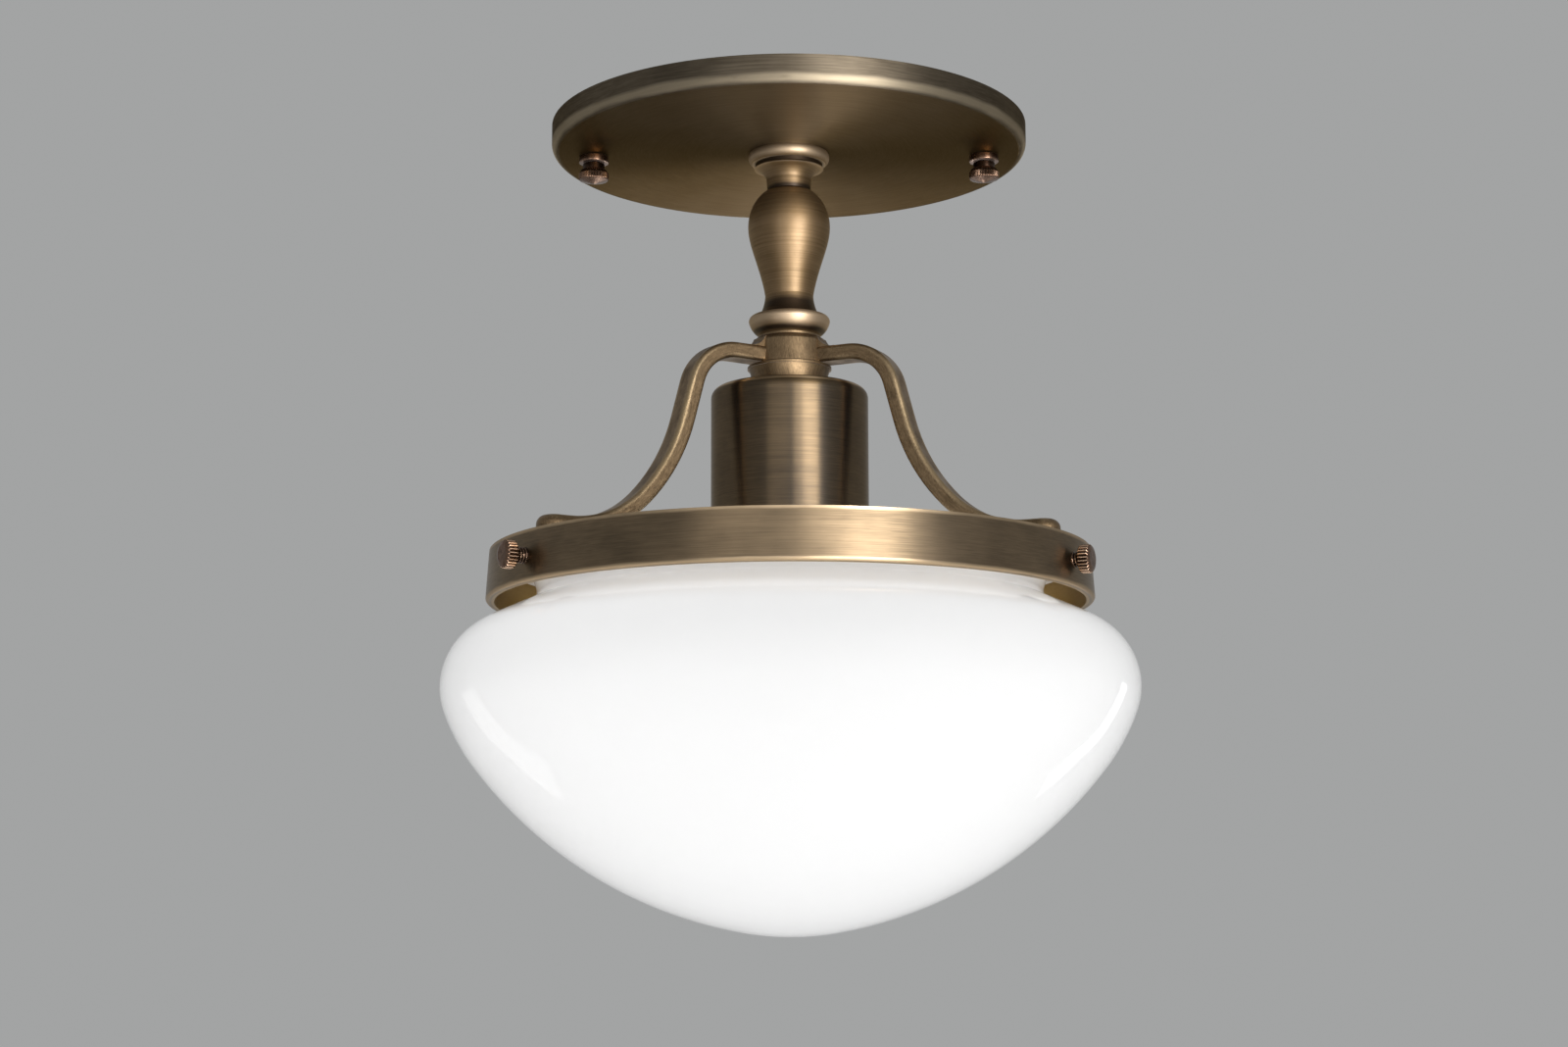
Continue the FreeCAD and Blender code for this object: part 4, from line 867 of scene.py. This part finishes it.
class Finishes(Enum):
    """Every finish of the light."""

    CANOPY = TurnedBrass(
        "canopy_brass", dark=(0.110, 0.088, 0.062), light=(0.220, 0.180, 0.130),
        # Painted highlight along the pan's lower rim, on rubbed brass.
        worn=(0.49, 0.41, 0.295), worn_and_highlight_rims=((63.2, -5.9, 1.6),), glance=(0.42, 0.39, 0.35),
        relief=0.003, lacquer=0.0, wall_haze=0.28,
        # Painted shade: the pan's underside is darker than its wall.
        inner_r=61.8, inner_top=1.0, inner=(0.094, 0.067, 0.042),
    )
    COLUMN = TurnedBrass(
        "column_brass", dark=(0.138, 0.086, 0.037), light=(0.268, 0.178, 0.094),
        # Patina with painted shade in the grooves and over the flare above the base bead.
        grooves=((9.0, -9.85, 1.0), (5.8, -16.7, 1.3), (6.9, -48.9, 3.0), (7.6, -50.9, 1.1),
                 (9.0, -55.7, 1.2)),
        # Painted highlight on both beads, on rubbed brass.
        worn=(0.43, 0.320, 0.210), worn_and_highlight_rims=((10.9, -52.9, 2.9), (10.9, -7.7, 1.9)),
        glance=(0.90, 0.74, 0.50), gloss=(0.56, 0.49), line=0.2, stroke=50.0, anisotropy=0.35,
        lacquer=0.3,
    )
    RING = TurnedBrass(
        "ring_brass", dark=(0.105, 0.071, 0.035), light=(0.220, 0.152, 0.083),
        # Painted highlight along the band's lower and upper edges, on rubbed brass.
        worn_and_highlight_rims=((79.1, -128.4, 0.9), (78.2, -115.7, 0.7)), gloss=(0.44, 0.37), line=0.2,
        # Painted reflection of the white glass on the band's inside, in the default inner colour.
        stroke=16.0, anisotropy=0.75, lacquer=0.6, inner_r=78.0, inner_top=-117.0,
    )
    CUP = TurnedBrass(
        "cup_brass", dark=(0.056, 0.035, 0.015), light=(0.126, 0.083, 0.040),
        worn_and_highlight_rims=((20.0, -71.7, 0.8),), gloss=(0.38, 0.31), line=0.18, stroke=16.0,
    )
    CASTING = CastBrass("cast_brass")
    SCREW = KnurledBrass("screw_brass")
    PALE_BRASS = PlainMetal("pale_brass", dark=(0.62, 0.46, 0.22), light=(0.82, 0.64, 0.34))
    STEEL = PlainMetal("plated_steel", dark=(0.46, 0.46, 0.42), light=(0.66, 0.65, 0.60))
    GREEN = PlainMetal(
        "green_screw", dark=(0.03, 0.20, 0.07), light=(0.06, 0.34, 0.13), metallic=0.3
    )
    TIN = PlainMetal(
        "bulb_plate", dark=(0.60, 0.60, 0.58), light=(0.80, 0.80, 0.78), gloss=(0.43, 0.30)
    )
    BLACK = PaleCeramic("black_glass", tint=(0.02, 0.02, 0.02), shade=(0.015, 0.015, 0.015))
    PORCELAIN = PaleCeramic(
        "porcelain", tint=(0.84, 0.82, 0.76), shade=(0.78, 0.76, 0.70), roughness=0.15
    )
    FROST = PaleCeramic(
        "frosted_bulb", tint=(0.88, 0.88, 0.86), shade=(0.84, 0.84, 0.82), roughness=0.22
    )
    OPAL = PaleCeramic(
        "opal_glass", tint=(0.985, 0.985, 0.985), shade=(0.975, 0.975, 0.978), depth=1.0
    )


def make_piece(surface: Surface, name: str, body: str, finish: Finishes,
               stands_for: list[str], crease: float = 35.0) -> bpy.types.Object:
    """Turn a surface into a dressed piece that rides on a body.

    Args:
        surface: the shape, in millimetres.
        name: name of the piece.
        body: body that it moves with.
        finish: its finish.
        stands_for: nodes that it replaces.
        crease: angle above which an edge stays sharp, in degrees.

    Returns:
        The new object, at the origin.
    """
    mesh = surface.mesh(name)
    mesh.shade_smooth()
    mesh.set_sharp_from_angle(angle=math.radians(crease))
    mesh.materials.append(finish.value.material())
    if surface.wear_and_light is not None:
        mesh.attributes.new(WEAR_AND_LIGHT, "FLOAT", "POINT").data.foreach_set("value", surface.wear_and_light)
    piece = add_object(name, mesh)
    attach(piece, body)
    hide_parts(*stands_for)
    LOG.info("piece %s: %d points, %d faces", name, len(mesh.vertices), len(mesh.polygons))
    return piece


def dress(frame: dict, finish: Finishes, *nodes: str) -> None:
    """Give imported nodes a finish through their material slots.

    Args:
        finish: the finish.
        nodes: names of the nodes.
    """
    for node in nodes:
        for slot in frame["nodes"][node].material_slots:
            slot.material = finish.value.material()
        LOG.info("node %s: %s", node, finish.name)


# Sub-assemblies

@dataclass
class ThumbScrew:
    """Knurled thumbscrew, built with its shank end at z = 0 and its head below.

    The end face is a little darker than a plain face, and the neck and the head's top more so,
    as painted shade in the narrow gap by the ring or collar. Along the thread and the knurl the
    level falls with the depth of the cut, as grime with painted shade, and the crests stay
    bright, as rubbed brass with a painted highlight.
    """

    shank_length: float
    tip_bevel: float = 0.4
    shank_r: float = 2.05
    neck_r: float = 0.0
    neck_length: float = 0.0
    head_r: float = 4.0
    head_length: float = 2.8
    head_edge: float = 0.3
    shoulder: Point = (0.24, 0.3)
    nose_length: float = 1.0
    nose_r: float = 0.5
    rounding: float = 0.12
    shoulder_rounding: float = 0.05
    root_rounding: float = 0.08
    nose_rounding: float = 0.3
    knurls: int = 24
    knurl_depth: float = 0.42
    knurl_power: float = 0.8
    knurled_share: float = 0.3
    crest_wear_and_highlight: float = 1.0
    knurl_grime_and_shade: float = 1.15
    face_level: float = 0.40
    neck_shade: float = 0.15
    thread_wear_and_highlight: float = 0.75
    thread_grime_and_shade: float = 2.2
    thread_pitch: float = 0.794
    thread_depth: float = 0.30
    thread_end: float = 0.2
    rows_a_pitch: int = 12
    bevel_rows: int = 3
    corner_rows: int = 6
    columns: int = 240

    def surface(self) -> Surface:
        """Outline spun round the axis, cut by the thread on its shank and the knurl on its head.

        A knurl cut is deepest where the cosine of its count times the angle is least.

        Returns:
            The closed surface of the screw, with its levels of wear and painted light.
        """
        shank_rows = int(self.shank_length / self.thread_pitch * self.rows_a_pitch)
        neck_top = -self.shank_length
        head_top = neck_top - self.neck_length
        head_end = head_top - self.head_length
        rim = self.head_r
        root = rim - self.knurl_depth
        shank_top = (self.shank_r, -self.tip_bevel)
        shank = chain(
            np.zeros((1, 2)),
            straight_run((self.shank_r - self.tip_bevel, 0.0), shank_top, self.bevel_rows),
            straight_run(shank_top, (self.shank_r, neck_top), shank_rows),
        )
        neck = [(self.shank_r, neck_top, 0.0)]
        if self.neck_length:
            neck += [(self.neck_r, neck_top, self.rounding), (self.neck_r, head_top, 0.0)]
        head = rounded(
            neck + [
                (rim - self.shoulder[0], head_top, self.shoulder_rounding),
                (rim, head_top - self.shoulder[1], self.rounding),
                (rim, head_end + self.head_edge, self.rounding),
                (root - 0.2 * self.head_edge, head_end, self.root_rounding),
                (self.nose_r, head_end - self.nose_length, self.nose_rounding),
                (0.0, head_end - self.nose_length, 0.0),
            ],
            self.corner_rows,
        )
        outline = chain(shank, head)
        height = outline[:, 1]
        away = outline[:, 0]
        on_shank = ((height > neck_top + self.thread_end) & (away > self.shank_r - 0.01))[:, None]
        edge_share = np.clip((away - root) / self.knurl_depth, 0, 1)
        on_rim = np.where(height < head_top + NEAR, edge_share, 0.0)[:, None]
        wave = (0.5 - 0.5 * np.cos(self.knurls * column_angles(self.columns))) ** self.knurl_power
        thread = thread_relief(height, self.columns, self.thread_pitch, self.thread_depth)
        relief = thread * on_shank - self.knurl_depth * on_rim * wave
        face = (height < head_end + 0.5 * self.head_edge) & (away < root - 0.15)
        on_neck = (height > head_top - NEAR) & (height < neck_top + self.thread_end)
        # The neck and head top are darker as painted shade; grooves darken as grime with painted
        # shade, and crests brighten as rubbed brass with a painted highlight.
        other = np.where(on_neck, self.neck_shade, PLAIN_WEAR)
        plain = np.where(face, self.face_level, other)[:, None]
        knurled = self.crest_wear_and_highlight * (1 - self.knurl_grime_and_shade * wave)
        head_wear_and_light = np.where(on_rim > self.knurled_share, knurled, plain)
        threaded = self.thread_wear_and_highlight + self.thread_grime_and_shade * thread / self.thread_depth
        wear_and_light = np.where(on_shank, threaded, head_wear_and_light)
        return spin(outline, self.columns, relief, np.clip(wear_and_light, 0, 1))


@dataclass
class CanopyHardware:
    """Canopy pan, the bar above it and the two thumbscrews with their collars."""

    screw_spacing: float = 104.8
    collar_top: float = -6.94
    collar_height: float = 1.85
    collar_r: float = 3.95
    collar_bore_r: float = 2.1
    collar_edge: float = 0.25
    collar_columns: int = 96
    collar_edge_wear_and_highlight: float = 0.62
    collar_end_shade: float = 0.2
    running_gap: float = 0.3

    def build(self, frame: dict) -> None:
        """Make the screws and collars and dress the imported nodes.
        """
        dress(frame, Finishes.CANOPY, "canopy")
        dress(frame, Finishes.STEEL, "crossbar", "canopy_lock_washer")
        dress(frame, Finishes.GREEN, "ground_screw")
        dress(frame, Finishes.PALE_BRASS, "upper_nipple", "canopy_lock_nut")
        collar_low = self.collar_top - self.collar_height
        screw = ThumbScrew(
            shank_length=self.running_gap - collar_low, neck_r=2.9, neck_length=1.6,
            shoulder=(0.7, 1.1), knurls=58, knurl_depth=0.16, crest_wear_and_highlight=0.72, columns=464,
        ).surface()
        for side, name in ((-1, "left"), (1, "right")):
            shift = (side * self.screw_spacing / 2, 0.0, 0.0)
            node = "canopy_thumbscrew_" + name
            make_piece(screw.placed(shift), "knurled_" + node, node,
                       Finishes.SCREW, [node])
            node = "canopy_collar_" + name
            make_piece(self.collar(collar_low).placed(shift), "turned_" + node, "fixture",
                       Finishes.SCREW, [node])

    def collar(self, low: float) -> Surface:
        """Ring with rounded edges, closed from its bore to its outside.

        Args:
            low: height of its lower face.

        Returns:
            The closed surface, with its levels of wear and painted light.
        """
        outline = rounded([
            (self.collar_bore_r, self.collar_top, 0.0),
            (self.collar_r, self.collar_top, self.collar_edge),
            (self.collar_r, low, self.collar_edge),
            (self.collar_bore_r, low, 0.0),
        ])
        away, height = outline.T
        to_edge = np.minimum(np.abs(height - self.collar_top), np.abs(height - low))
        outer = away > self.collar_r - 2 * self.collar_edge
        # Outer edges are brighter as rubbed brass with a painted highlight; the lower face by the
        # bore is darker as painted shade over the screw.
        wear_and_light = np.where(outer & (to_edge < self.collar_edge), self.collar_edge_wear_and_highlight, PLAIN_WEAR)
        wear_and_light = np.where(~outer & (height < low + 0.1), self.collar_end_shade, wear_and_light)
        wear_and_light = np.repeat(wear_and_light[:, None], self.collar_columns, axis=1)
        return spin(outline, self.collar_columns, wear_and_light=wear_and_light)


@dataclass
class Fitter:
    """Ring with its three thumbscrews, each pointing at the axis.

    A head gap is the room between the ring and a screw's head.
    """

    names: tuple[str, ...] = ("right", "back", "left")
    angles: tuple[float, ...] = (-26.0, 94.0, 214.0)
    head_gaps: tuple[float, ...] = (1.8, 2.4, 3.2)
    screw_z: float = -122.0
    ring_r_at_screw: float = 78.95
    shank_length: float = 12.6

    def build(self, frame: dict) -> None:
        """Make the screws and dress the ring and the foot screws.
        """
        dress(frame, Finishes.RING, "fitter_ring")
        dress(frame, Finishes.PALE_BRASS, *("foot_screw_" + name for name in self.names))
        screw = ThumbScrew(
            shank_length=self.shank_length, tip_bevel=0.6, head_r=3.6, head_edge=0.35,
            nose_length=0.25, nose_r=2.2,
        ).surface()
        for name, angle, gap in zip(self.names, self.angles, self.head_gaps):
            tip = self.ring_r_at_screw + gap - self.shank_length
            cosine, sine = math.cos(math.radians(angle)), math.sin(math.radians(angle))
            turn = np.array([[0.0, -sine, -cosine], [0.0, cosine, -sine], [1.0, 0.0, 0.0]])
            node = "fitter_thumbscrew_" + name
            shift = (tip * cosine, tip * sine, self.screw_z)
            make_piece(screw.placed(shift, turn), "knurled_" + node, node,
                       Finishes.SCREW, [node])


@dataclass
class Stem:
    """Column and cast arms, with the pipe that joins them to the cup."""

    def build(self, frame: dict) -> None:
        """Dress the column, the casting and the lower pipe.
        """
        dress(frame, Finishes.COLUMN, "column")
        dress(frame, Finishes.CASTING, "arm_spider")
        dress(frame, Finishes.PALE_BRASS, "lower_nipple")


@dataclass
class Lampholder:
    """Cup, and the lampholder and bulb inside it."""

    def build(self, frame: dict) -> None:
        """Dress the cup, the lampholder and the bulb.
        """
        dress(frame, Finishes.CUP, "socket_cup")
        dress(frame, Finishes.STEEL, "socket_lock_washer", "socket_bracket", "bracket_screw_left",
              "bracket_screw_right", "terminal_screw_neutral", "bulb_contact")
        dress(frame, Finishes.PALE_BRASS, "socket_lock_nut", "screw_shell", "centre_contact",
              "contact_rivet", "terminal_screw_line")
        dress(frame, Finishes.PORCELAIN, "porcelain_body")
        dress(frame, Finishes.BLACK, "bulb_insulator")
        dress(frame, Finishes.TIN, "bulb_base")
        dress(frame, Finishes.FROST, "bulb_glass")


@dataclass
class OpalShade:
    """Blown opal bowl: rolled lip, waist, rounded shoulder and a long round bottom.

    A side arc is a radius and the angle of the outward normal from straight down at its end.
    """

    lip_r: float = 74.6
    lip_top: float = -117.8
    lip_thickness: float = 2.0
    lip_overhang: float = 8.5
    lip_flat: float = 0.04
    mouth_rounding: float = 0.6
    wall: float = 2.6
    waist_drop: float = 7.9
    cove_r: float = 3.4
    neck_slope: float = 70.0
    neck_corner_r: float = 1.2
    shoulder_slope: float = 24.3
    shoulder_length: float = 12.9
    side_arcs: tuple[Point, ...] = ((18.4, 70.0), (53.0, 52.5), (112.0, 10.0))
    cove_rows: int = 14
    shoulder_rows: int = 8
    side_rows: int = 22
    pole_rows: int = 10
    lip_rows: int = 8
    columns: int = 288
    crease: float = 60.0

    def side(self, inset: float) -> np.ndarray:
        """Outline from the neck down to the pole, set in from the outer face.

        Each arc starts where the one before it ends, with its centre on the same normal, so
        the outline has no corner. The last arc ends square on the axis.

        Args:
            inset: distance in from the outer face.

        Returns:
            Array of radius and height.
        """
        waist = (self.lip_r - self.lip_overhang, self.lip_top - self.waist_drop)
        cove = arc_run((waist[0] + self.cove_r, waist[1]), self.cove_r + inset,
                       90 + self.neck_slope, 270 - self.shoulder_slope, self.cove_rows)
        slope = math.radians(self.shoulder_slope)
        end = cove[-1] + self.shoulder_length * np.array([math.cos(slope), -math.sin(slope)])
        runs = [cove, straight_run(cove[-1], end, self.shoulder_rows)]
        angle = 180 - self.shoulder_slope
        for radius, last in self.side_arcs:
            start = runs[-1][-1]
            runs.append(self.normal_arc(start, radius - inset, angle, last, self.side_rows))
            angle = last
        pole_r = runs[-1][-1, 0] / math.sin(math.radians(angle))
        runs.append(self.normal_arc(runs[-1][-1], pole_r, angle, 0.0, self.pole_rows))
        side = chain(*runs)
        side[-1, 0] = 0.0
        return side

    @staticmethod
    def normal_arc(start: np.ndarray, radius: float, first: float, last: float,
                   count: int) -> np.ndarray:
        """Arc from a point, between two angles of its outward normal from straight down.

        The centre lies one radius from the start, back along the normal there.

        Args:
            start: radius and height of the first point.
            radius: radius of the arc.
            first: angle of the normal at the start, in degrees.
            last: angle of the normal at the end.
            count: number of points.

        Returns:
            Array of radius and height.
        """
        turn = math.radians(first)
        centre = (start[0] - radius * math.sin(turn), start[1] + radius * math.cos(turn))
        return arc_run(centre, radius, first - 90, last - 90, count)

    def surface(self) -> Surface:
        """Outer side from the pole up to the lip, over it, and down the inner side.

        Returns:
            The closed surface of the bowl.
        """
        outer, inner = self.side(0.0), self.side(self.wall)
        lip_low = self.lip_top - self.lip_thickness
        lean = 1 / math.tan(math.radians(self.neck_slope))
        mouth_r = inner[0, 0] + (self.lip_top - inner[0, 1]) * lean
        neck_r = outer[0, 0] + (lip_low - outer[0, 1]) * lean
        bead = (self.lip_thickness - self.lip_flat) / 2
        rim = rounded([
            (*outer[0], 0.0),
            (neck_r, lip_low, self.neck_corner_r),
            (self.lip_r, lip_low, bead),
            (self.lip_r, self.lip_top, bead),
            (mouth_r, self.lip_top, self.mouth_rounding),
            (*inner[0], 0.0),
        ], self.lip_rows)
        return spin(chain(outer[::-1], rim, inner), self.columns)

    def build(self) -> bpy.types.Object:
        """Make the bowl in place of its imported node."""
        return make_piece(self.surface(), "blown_glass_shade", "fixture",
                          Finishes.OPAL, ["glass_shade"], self.crease)


# Stage

class Lit(Enum):
    """What a lamp lights: the gloss of all but the opal glass, or the glass's body or gloss.

    A lamp for the glass casts no shadow, as light scattered in the walls of an opal bowl fills
    the shadow of its ring and lip. A lamp past the metal isn't stopped by brass, so that the
    pan shows it past the column.
    """

    METAL = "metal"
    PAST_METAL = "past_metal"
    GLASS_BODY = "glass_body"
    GLASS_GLOSS = "glass_gloss"

    @property
    def is_glass(self) -> bool:
        """Whether the lamp lights the glass."""
        return self in (Lit.GLASS_BODY, Lit.GLASS_GLOSS)

    def receivers(self, glass: bpy.types.Object) -> bpy.types.Collection:
        """Collection that names the glass as the one thing lit or the one thing left out.

        Args:
            glass: the opal bowl.

        Returns:
            The collection, made at its first use.
        """
        state = "INCLUDE" if self.is_glass else "EXCLUDE"
        name = "glass_" + state.lower()
        found = bpy.data.collections.get(name)
        if found is None:
            found = bpy.data.collections.new(name)
            found.objects.link(glass)
            found.collection_objects[0].light_linking.link_state = state
        return found


@dataclass
class Lamp:
    """Soft rectangular studio lamp aimed at the light. Its width and height are in metres."""

    name: str
    azimuth: float
    elevation: float
    width: float
    height: float
    power: float
    lights: Lit
    distance: float = 1.6

    def build(self, target: Vector, glass: bpy.types.Object) -> None:
        """Place the lamp round a target: azimuth 0 is the camera's side and 90 is its right.

        Args:
            target: place that the lamp faces, in metres.
            glass: the opal bowl.
        """
        turn, rise = math.radians(self.azimuth), math.radians(self.elevation)
        flat = Vector((math.sin(turn), -math.cos(turn), 0.0))
        out = math.cos(rise) * flat + Vector((0.0, 0.0, math.sin(rise)))
        data = bpy.data.lights.new(self.name, "AREA")
        data.shape = "RECTANGLE"
        data.size, data.size_y, data.energy = self.width, self.height, self.power
        data.use_shadow = not self.lights.is_glass
        lamp = add_object(self.name, data)
        lamp.location = target + out * self.distance
        lamp.rotation_mode = "QUATERNION"
        lamp.rotation_quaternion = out.to_track_quat("Z", "Y")
        lamp.visible_diffuse = self.lights is Lit.GLASS_BODY
        lamp.visible_glossy = self.lights is not Lit.GLASS_BODY
        lamp.light_linking.receiver_collection = self.lights.receivers(glass)
        if self.lights is Lit.PAST_METAL:
            lamp.light_linking.blocker_collection = Lit.GLASS_BODY.receivers(glass)


@dataclass
class Studio:
    """Camera, lamps, grey surroundings and a pale floor below the light.

    Places and sizes are in metres, and the camera's angles in radians. The floor fades
    between two shares of its radius.
    """

    eye: Triple = (0.0, -0.71475, -0.22441)
    pitch: float = 0.1629
    yaw: float = 0.0022
    roll: float = 0.0028
    lens: float = 63.2525
    sensor_width: float = 36.0
    clip: Point = (0.01, 50.0)
    aim: Triple = (0.0, 0.0, -0.11)
    backdrop: Colour = (0.365, 0.37, 0.37)
    ambient: float = 0.86
    floor_z: float = -1.5
    floor_r: float = 4.0
    floor_thickness: float = 0.02
    floor_columns: int = 96
    floor_tone: Colour = (0.82, 0.82, 0.82)
    floor_fade: Point = (0.35, 0.95)
    lamps: tuple[Lamp, ...] = (
        Lamp("key_lamp", 31.0, -6.0, 0.62, 1.3, 34.0, Lit.METAL),
        Lamp("key_wing_lamp", 14.0, -6.0, 0.45, 1.3, 10.0, Lit.METAL),
        Lamp("fill_lamp", -16.0, -6.0, 0.9, 1.2, 5.5, Lit.METAL),
        Lamp("rear_low_lamp", 174.0, -34.0, 0.9, 0.7, 0.7, Lit.PAST_METAL),
        Lamp("low_lamp", 22.0, -36.0, 0.8, 0.6, 5.0, Lit.METAL),
        Lamp("rear_strip", 178.0, -34.0, 0.16, 0.7, 2.0, Lit.PAST_METAL),
        Lamp("glass_top_lamp", 0.0, 78.0, 1.6, 1.6, 6.0, Lit.GLASS_BODY),
        Lamp("glass_low_lamp", 8.0, -52.0, 1.2, 1.0, 12.2, Lit.GLASS_BODY),
        Lamp("glass_right_lamp", 82.0, -6.0, 0.8, 1.2, 4.3, Lit.GLASS_BODY),
        Lamp("glass_left_strip", -126.0, -22.0, 0.30, 0.9, 0.45, Lit.GLASS_GLOSS),
        Lamp("glass_right_strip", 134.0, -16.0, 0.16, 0.9, 0.6, Lit.GLASS_GLOSS),
    )

    def build(self, glass: bpy.types.Object) -> None:
        """Set up everything that isn't part of the light.

        Args:
            glass: the opal bowl.
        """
        self.camera()
        for lamp in self.lamps:
            lamp.build(Vector(self.aim), glass)
        self.surroundings()
        self.floor()

    def camera(self) -> None:
        """Camera at the photograph's place: turned by yaw, then pitch, then roll."""
        data = bpy.data.cameras.new("camera")
        data.lens, data.sensor_width = self.lens, self.sensor_width
        data.clip_start, data.clip_end = self.clip
        camera = add_object("camera", data)
        camera.matrix_world = (
            Matrix.Translation(self.eye)
            @ Matrix.Rotation(self.yaw, 4, "Z")
            @ Matrix.Rotation(math.pi / 2 + self.pitch, 4, "X")
            @ Matrix.Rotation(-self.roll, 4, "Z")
        )
        bpy.context.scene.camera = camera

    def surroundings(self) -> None:
        """World that lights at a plain level and shows as the grey backdrop, also in gloss."""
        world = bpy.data.worlds.new("surroundings")
        world.use_nodes = True
        board = NodeBoard(world.node_tree)
        light, seen = (
            board.node("Background", (*colour, 1.0)).outputs[0]
            for colour in ((self.ambient,) * 3, self.backdrop)
        )
        both = board.node("MixShader", board.shown(), light, seen).outputs[0]
        board.node("OutputWorld", both)
        bpy.context.scene.world = world

    def floor(self) -> None:
        """Round pale floor well below the light, which fades into the surroundings.

        To the camera it shows as the backdrop, so its colour there is the backdrop's over the
        level of the world that lights it.
        """
        reach, bottom = self.floor_r / MM, -self.floor_thickness / MM
        outline = np.array([[0.0, 0.0], [reach, 0.0], [reach, bottom], [0.0, bottom]])
        disc = spin(outline, self.floor_columns).placed((0.0, 0.0, self.floor_z / MM))
        board = ShaderBoard("floor_paper")
        fade = (self.floor_fade[0] * reach, self.floor_fade[1] * reach)
        as_backdrop = tuple(tone / self.ambient for tone in self.backdrop)
        board.set(
            Base_Color=board.blend(board.shown(), self.floor_tone, as_backdrop),
            Roughness=1.0,
            Alpha=board.spread(board.length(board.millimetres()), fade, (1.0, 0.0)),
        )
        mesh = disc.mesh("floor")
        mesh.materials.append(board.material)
        floor = add_object("floor", mesh)


def main() -> None:
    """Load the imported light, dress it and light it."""
    logging.basicConfig(level=logging.INFO, format="%(name)s %(message)s")
    for leftover in list(bpy.data.objects):
        bpy.data.objects.remove(leftover)
    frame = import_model()
    CanopyHardware().build(frame)
    Stem().build(frame)
    Fitter().build(frame)
    Lampholder().build(frame)
    Studio().build(OpalShade().build())
    bpy.context.scene.view_settings.view_transform = "Standard"


if __name__ == "__main__":
    main()
